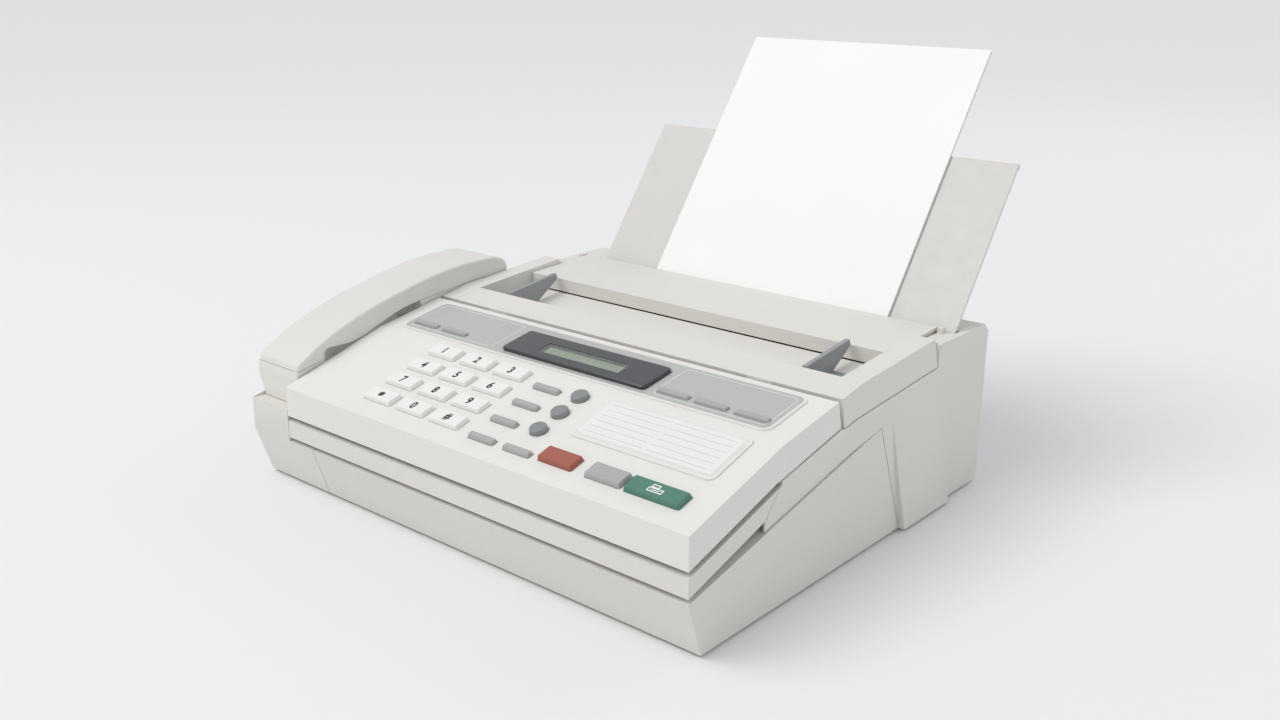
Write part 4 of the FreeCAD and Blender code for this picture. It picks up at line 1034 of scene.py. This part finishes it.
def screws():
    """Domed heads with a cross recess."""
    centres = []
    between_z = 60              # between the lower pair of screws and the upper
    points = [LEVEL.inverted() @ v.co for v in NODES["case_screws"].data.vertices]
    for x_side in (-1, 1):
        for z_side in (-1, 1):
            group = [p for p in points if (p.x + CASE_W / 2) * x_side > 0
                     and (p.z - between_z) * z_side > 0]
            centres.append(((min(p.x for p in group) + max(p.x for p in group)) / 2,
                            (min(p.z for p in group) + max(p.z for p in group)) / 2,
                            min(p.y for p in group)))
    bm = bmesh.new()
    for x, z, y in centres:
        lathe(bm, [(y, 3.2), (y + 0.7, 3.2), (y + 1.2, 2.7), (y + 1.45, 1.9), (y + 1.55, 0.9)],
              (x, 0, z), "y", 32)
    made = piece("case_screw_heads", bm, "chassis", "screw_steel", matrix=LEVEL,
                 covers=["case_screws"])
    for x, z, y in centres:
        for turn in (0, 1):
            bm = bmesh.new()
            wide, thin = (1.7, 0.35) if turn else (0.35, 1.7)
            box_part(bm, (x - wide, x + wide), (y + 0.7, y + 2.5), (z - thin, z + thin), 0)
            combined(made, plain_object(bm, LEVEL))


def kept_nodes():
    """CAD nodes whose shape stays, in their own material."""
    for name in ("guide_pinion", "panel_board"):
        data = NODES[name].data
        data.materials.clear()
        data.materials.append(MATERIALS[SLOT_OF[name]])


casing()
display_strip()
display()
index_card()
keys()
legends()
start_symbol()
dome_mat()
handset()
sheets()
rollers()
ink_web()
print_and_scan()
motor()
boards()
power()
jacks()
screws()
kept_nodes()


# ---- floor, light and camera ------------
def stage():
    bm = bmesh.new()
    bmesh.ops.create_grid(bm, x_segments=1, y_segments=1, size=60.0)
    mesh = bpy.data.meshes.new("floor")
    bm.to_mesh(mesh)
    bm.free()
    material = bpy.data.materials.new("floor")
    material.use_nodes = True
    shader = material.node_tree.nodes["Principled BSDF"]
    shader.inputs["Base Color"].default_value = (0.82, 0.82, 0.82, 1)
    shader.inputs["Roughness"].default_value = 0.9
    mesh.materials.append(material)
    floor = linked("floor", mesh)


def lamp(name, place, size, power, colour=(1, 1, 1)):
    light = bpy.data.lights.new(name, "AREA")
    light.shape = "RECTANGLE"
    light.size, light.size_y = size
    light.energy = power
    aimed(name, light, place, colour)


def aimed(name, light, place, colour):
    """Puts a light at a place, turned to the middle of the object."""
    light.color = colour
    made = linked(name, light)
    made.location = place
    aim = Vector((0, 0, 0.08)) - Vector(place)
    made.rotation_euler = aim.to_track_quat("-Z", "Y").to_euler()


def studio():
    """Soft light that is the same all over the floor, with a brighter side on the object."""
    sun = bpy.data.lights.new("overhead_light", "SUN")
    sun.energy = 0.95
    sun.angle = math.radians(40)
    aimed("overhead_light", sun, (-1.0, -1.2, 2.6), (1.0, 0.99, 0.975))
    lamp("key_light", (-1.2, -1.5, 1.9), (1.3, 0.9), 9.5, (1.0, 0.985, 0.96))
    lamp("fill_light", (1.9, -0.9, 1.1), (1.4, 1.4), 1.5, (0.95, 0.975, 1.0))
    lamp("back_light", (0.5, 1.9, 1.6), (1.6, 0.9), 3.5)
    world = bpy.data.worlds.new("studio")
    world.use_nodes = True
    background = world.node_tree.nodes["Background"]
    background.inputs["Color"].default_value = (0.95, 0.965, 1.0, 1)
    background.inputs["Strength"].default_value = 0.68
    bpy.context.scene.world = world


def camera():
    """Looks down on the machine from its front right, above the casing's corner."""
    yaw, pitch, roll = 0.714997, -0.307562, 0.0009
    lens = bpy.data.cameras.new("camera")
    lens.lens = 35.92
    lens.sensor_width = 36.0
    lens.shift_x, lens.shift_y = 0.0091, -0.0074
    lens.clip_start, lens.clip_end = 0.02, 50
    made = linked("camera", lens)
    turn = Matrix.Rotation(yaw, 4, "Z") @ Matrix.Rotation(math.pi / 2 + pitch, 4, "X")
    eye = LEVEL @ Vector((368.13, -471.98, 365.53))
    made.matrix_world = Matrix.Translation(eye) @ turn @ Matrix.Rotation(roll, 4, "Z")
    bpy.context.scene.camera = made


stage()
studio()
camera()
bpy.context.scene.view_settings.view_transform = "Standard"

bpy.context.view_layer.update()
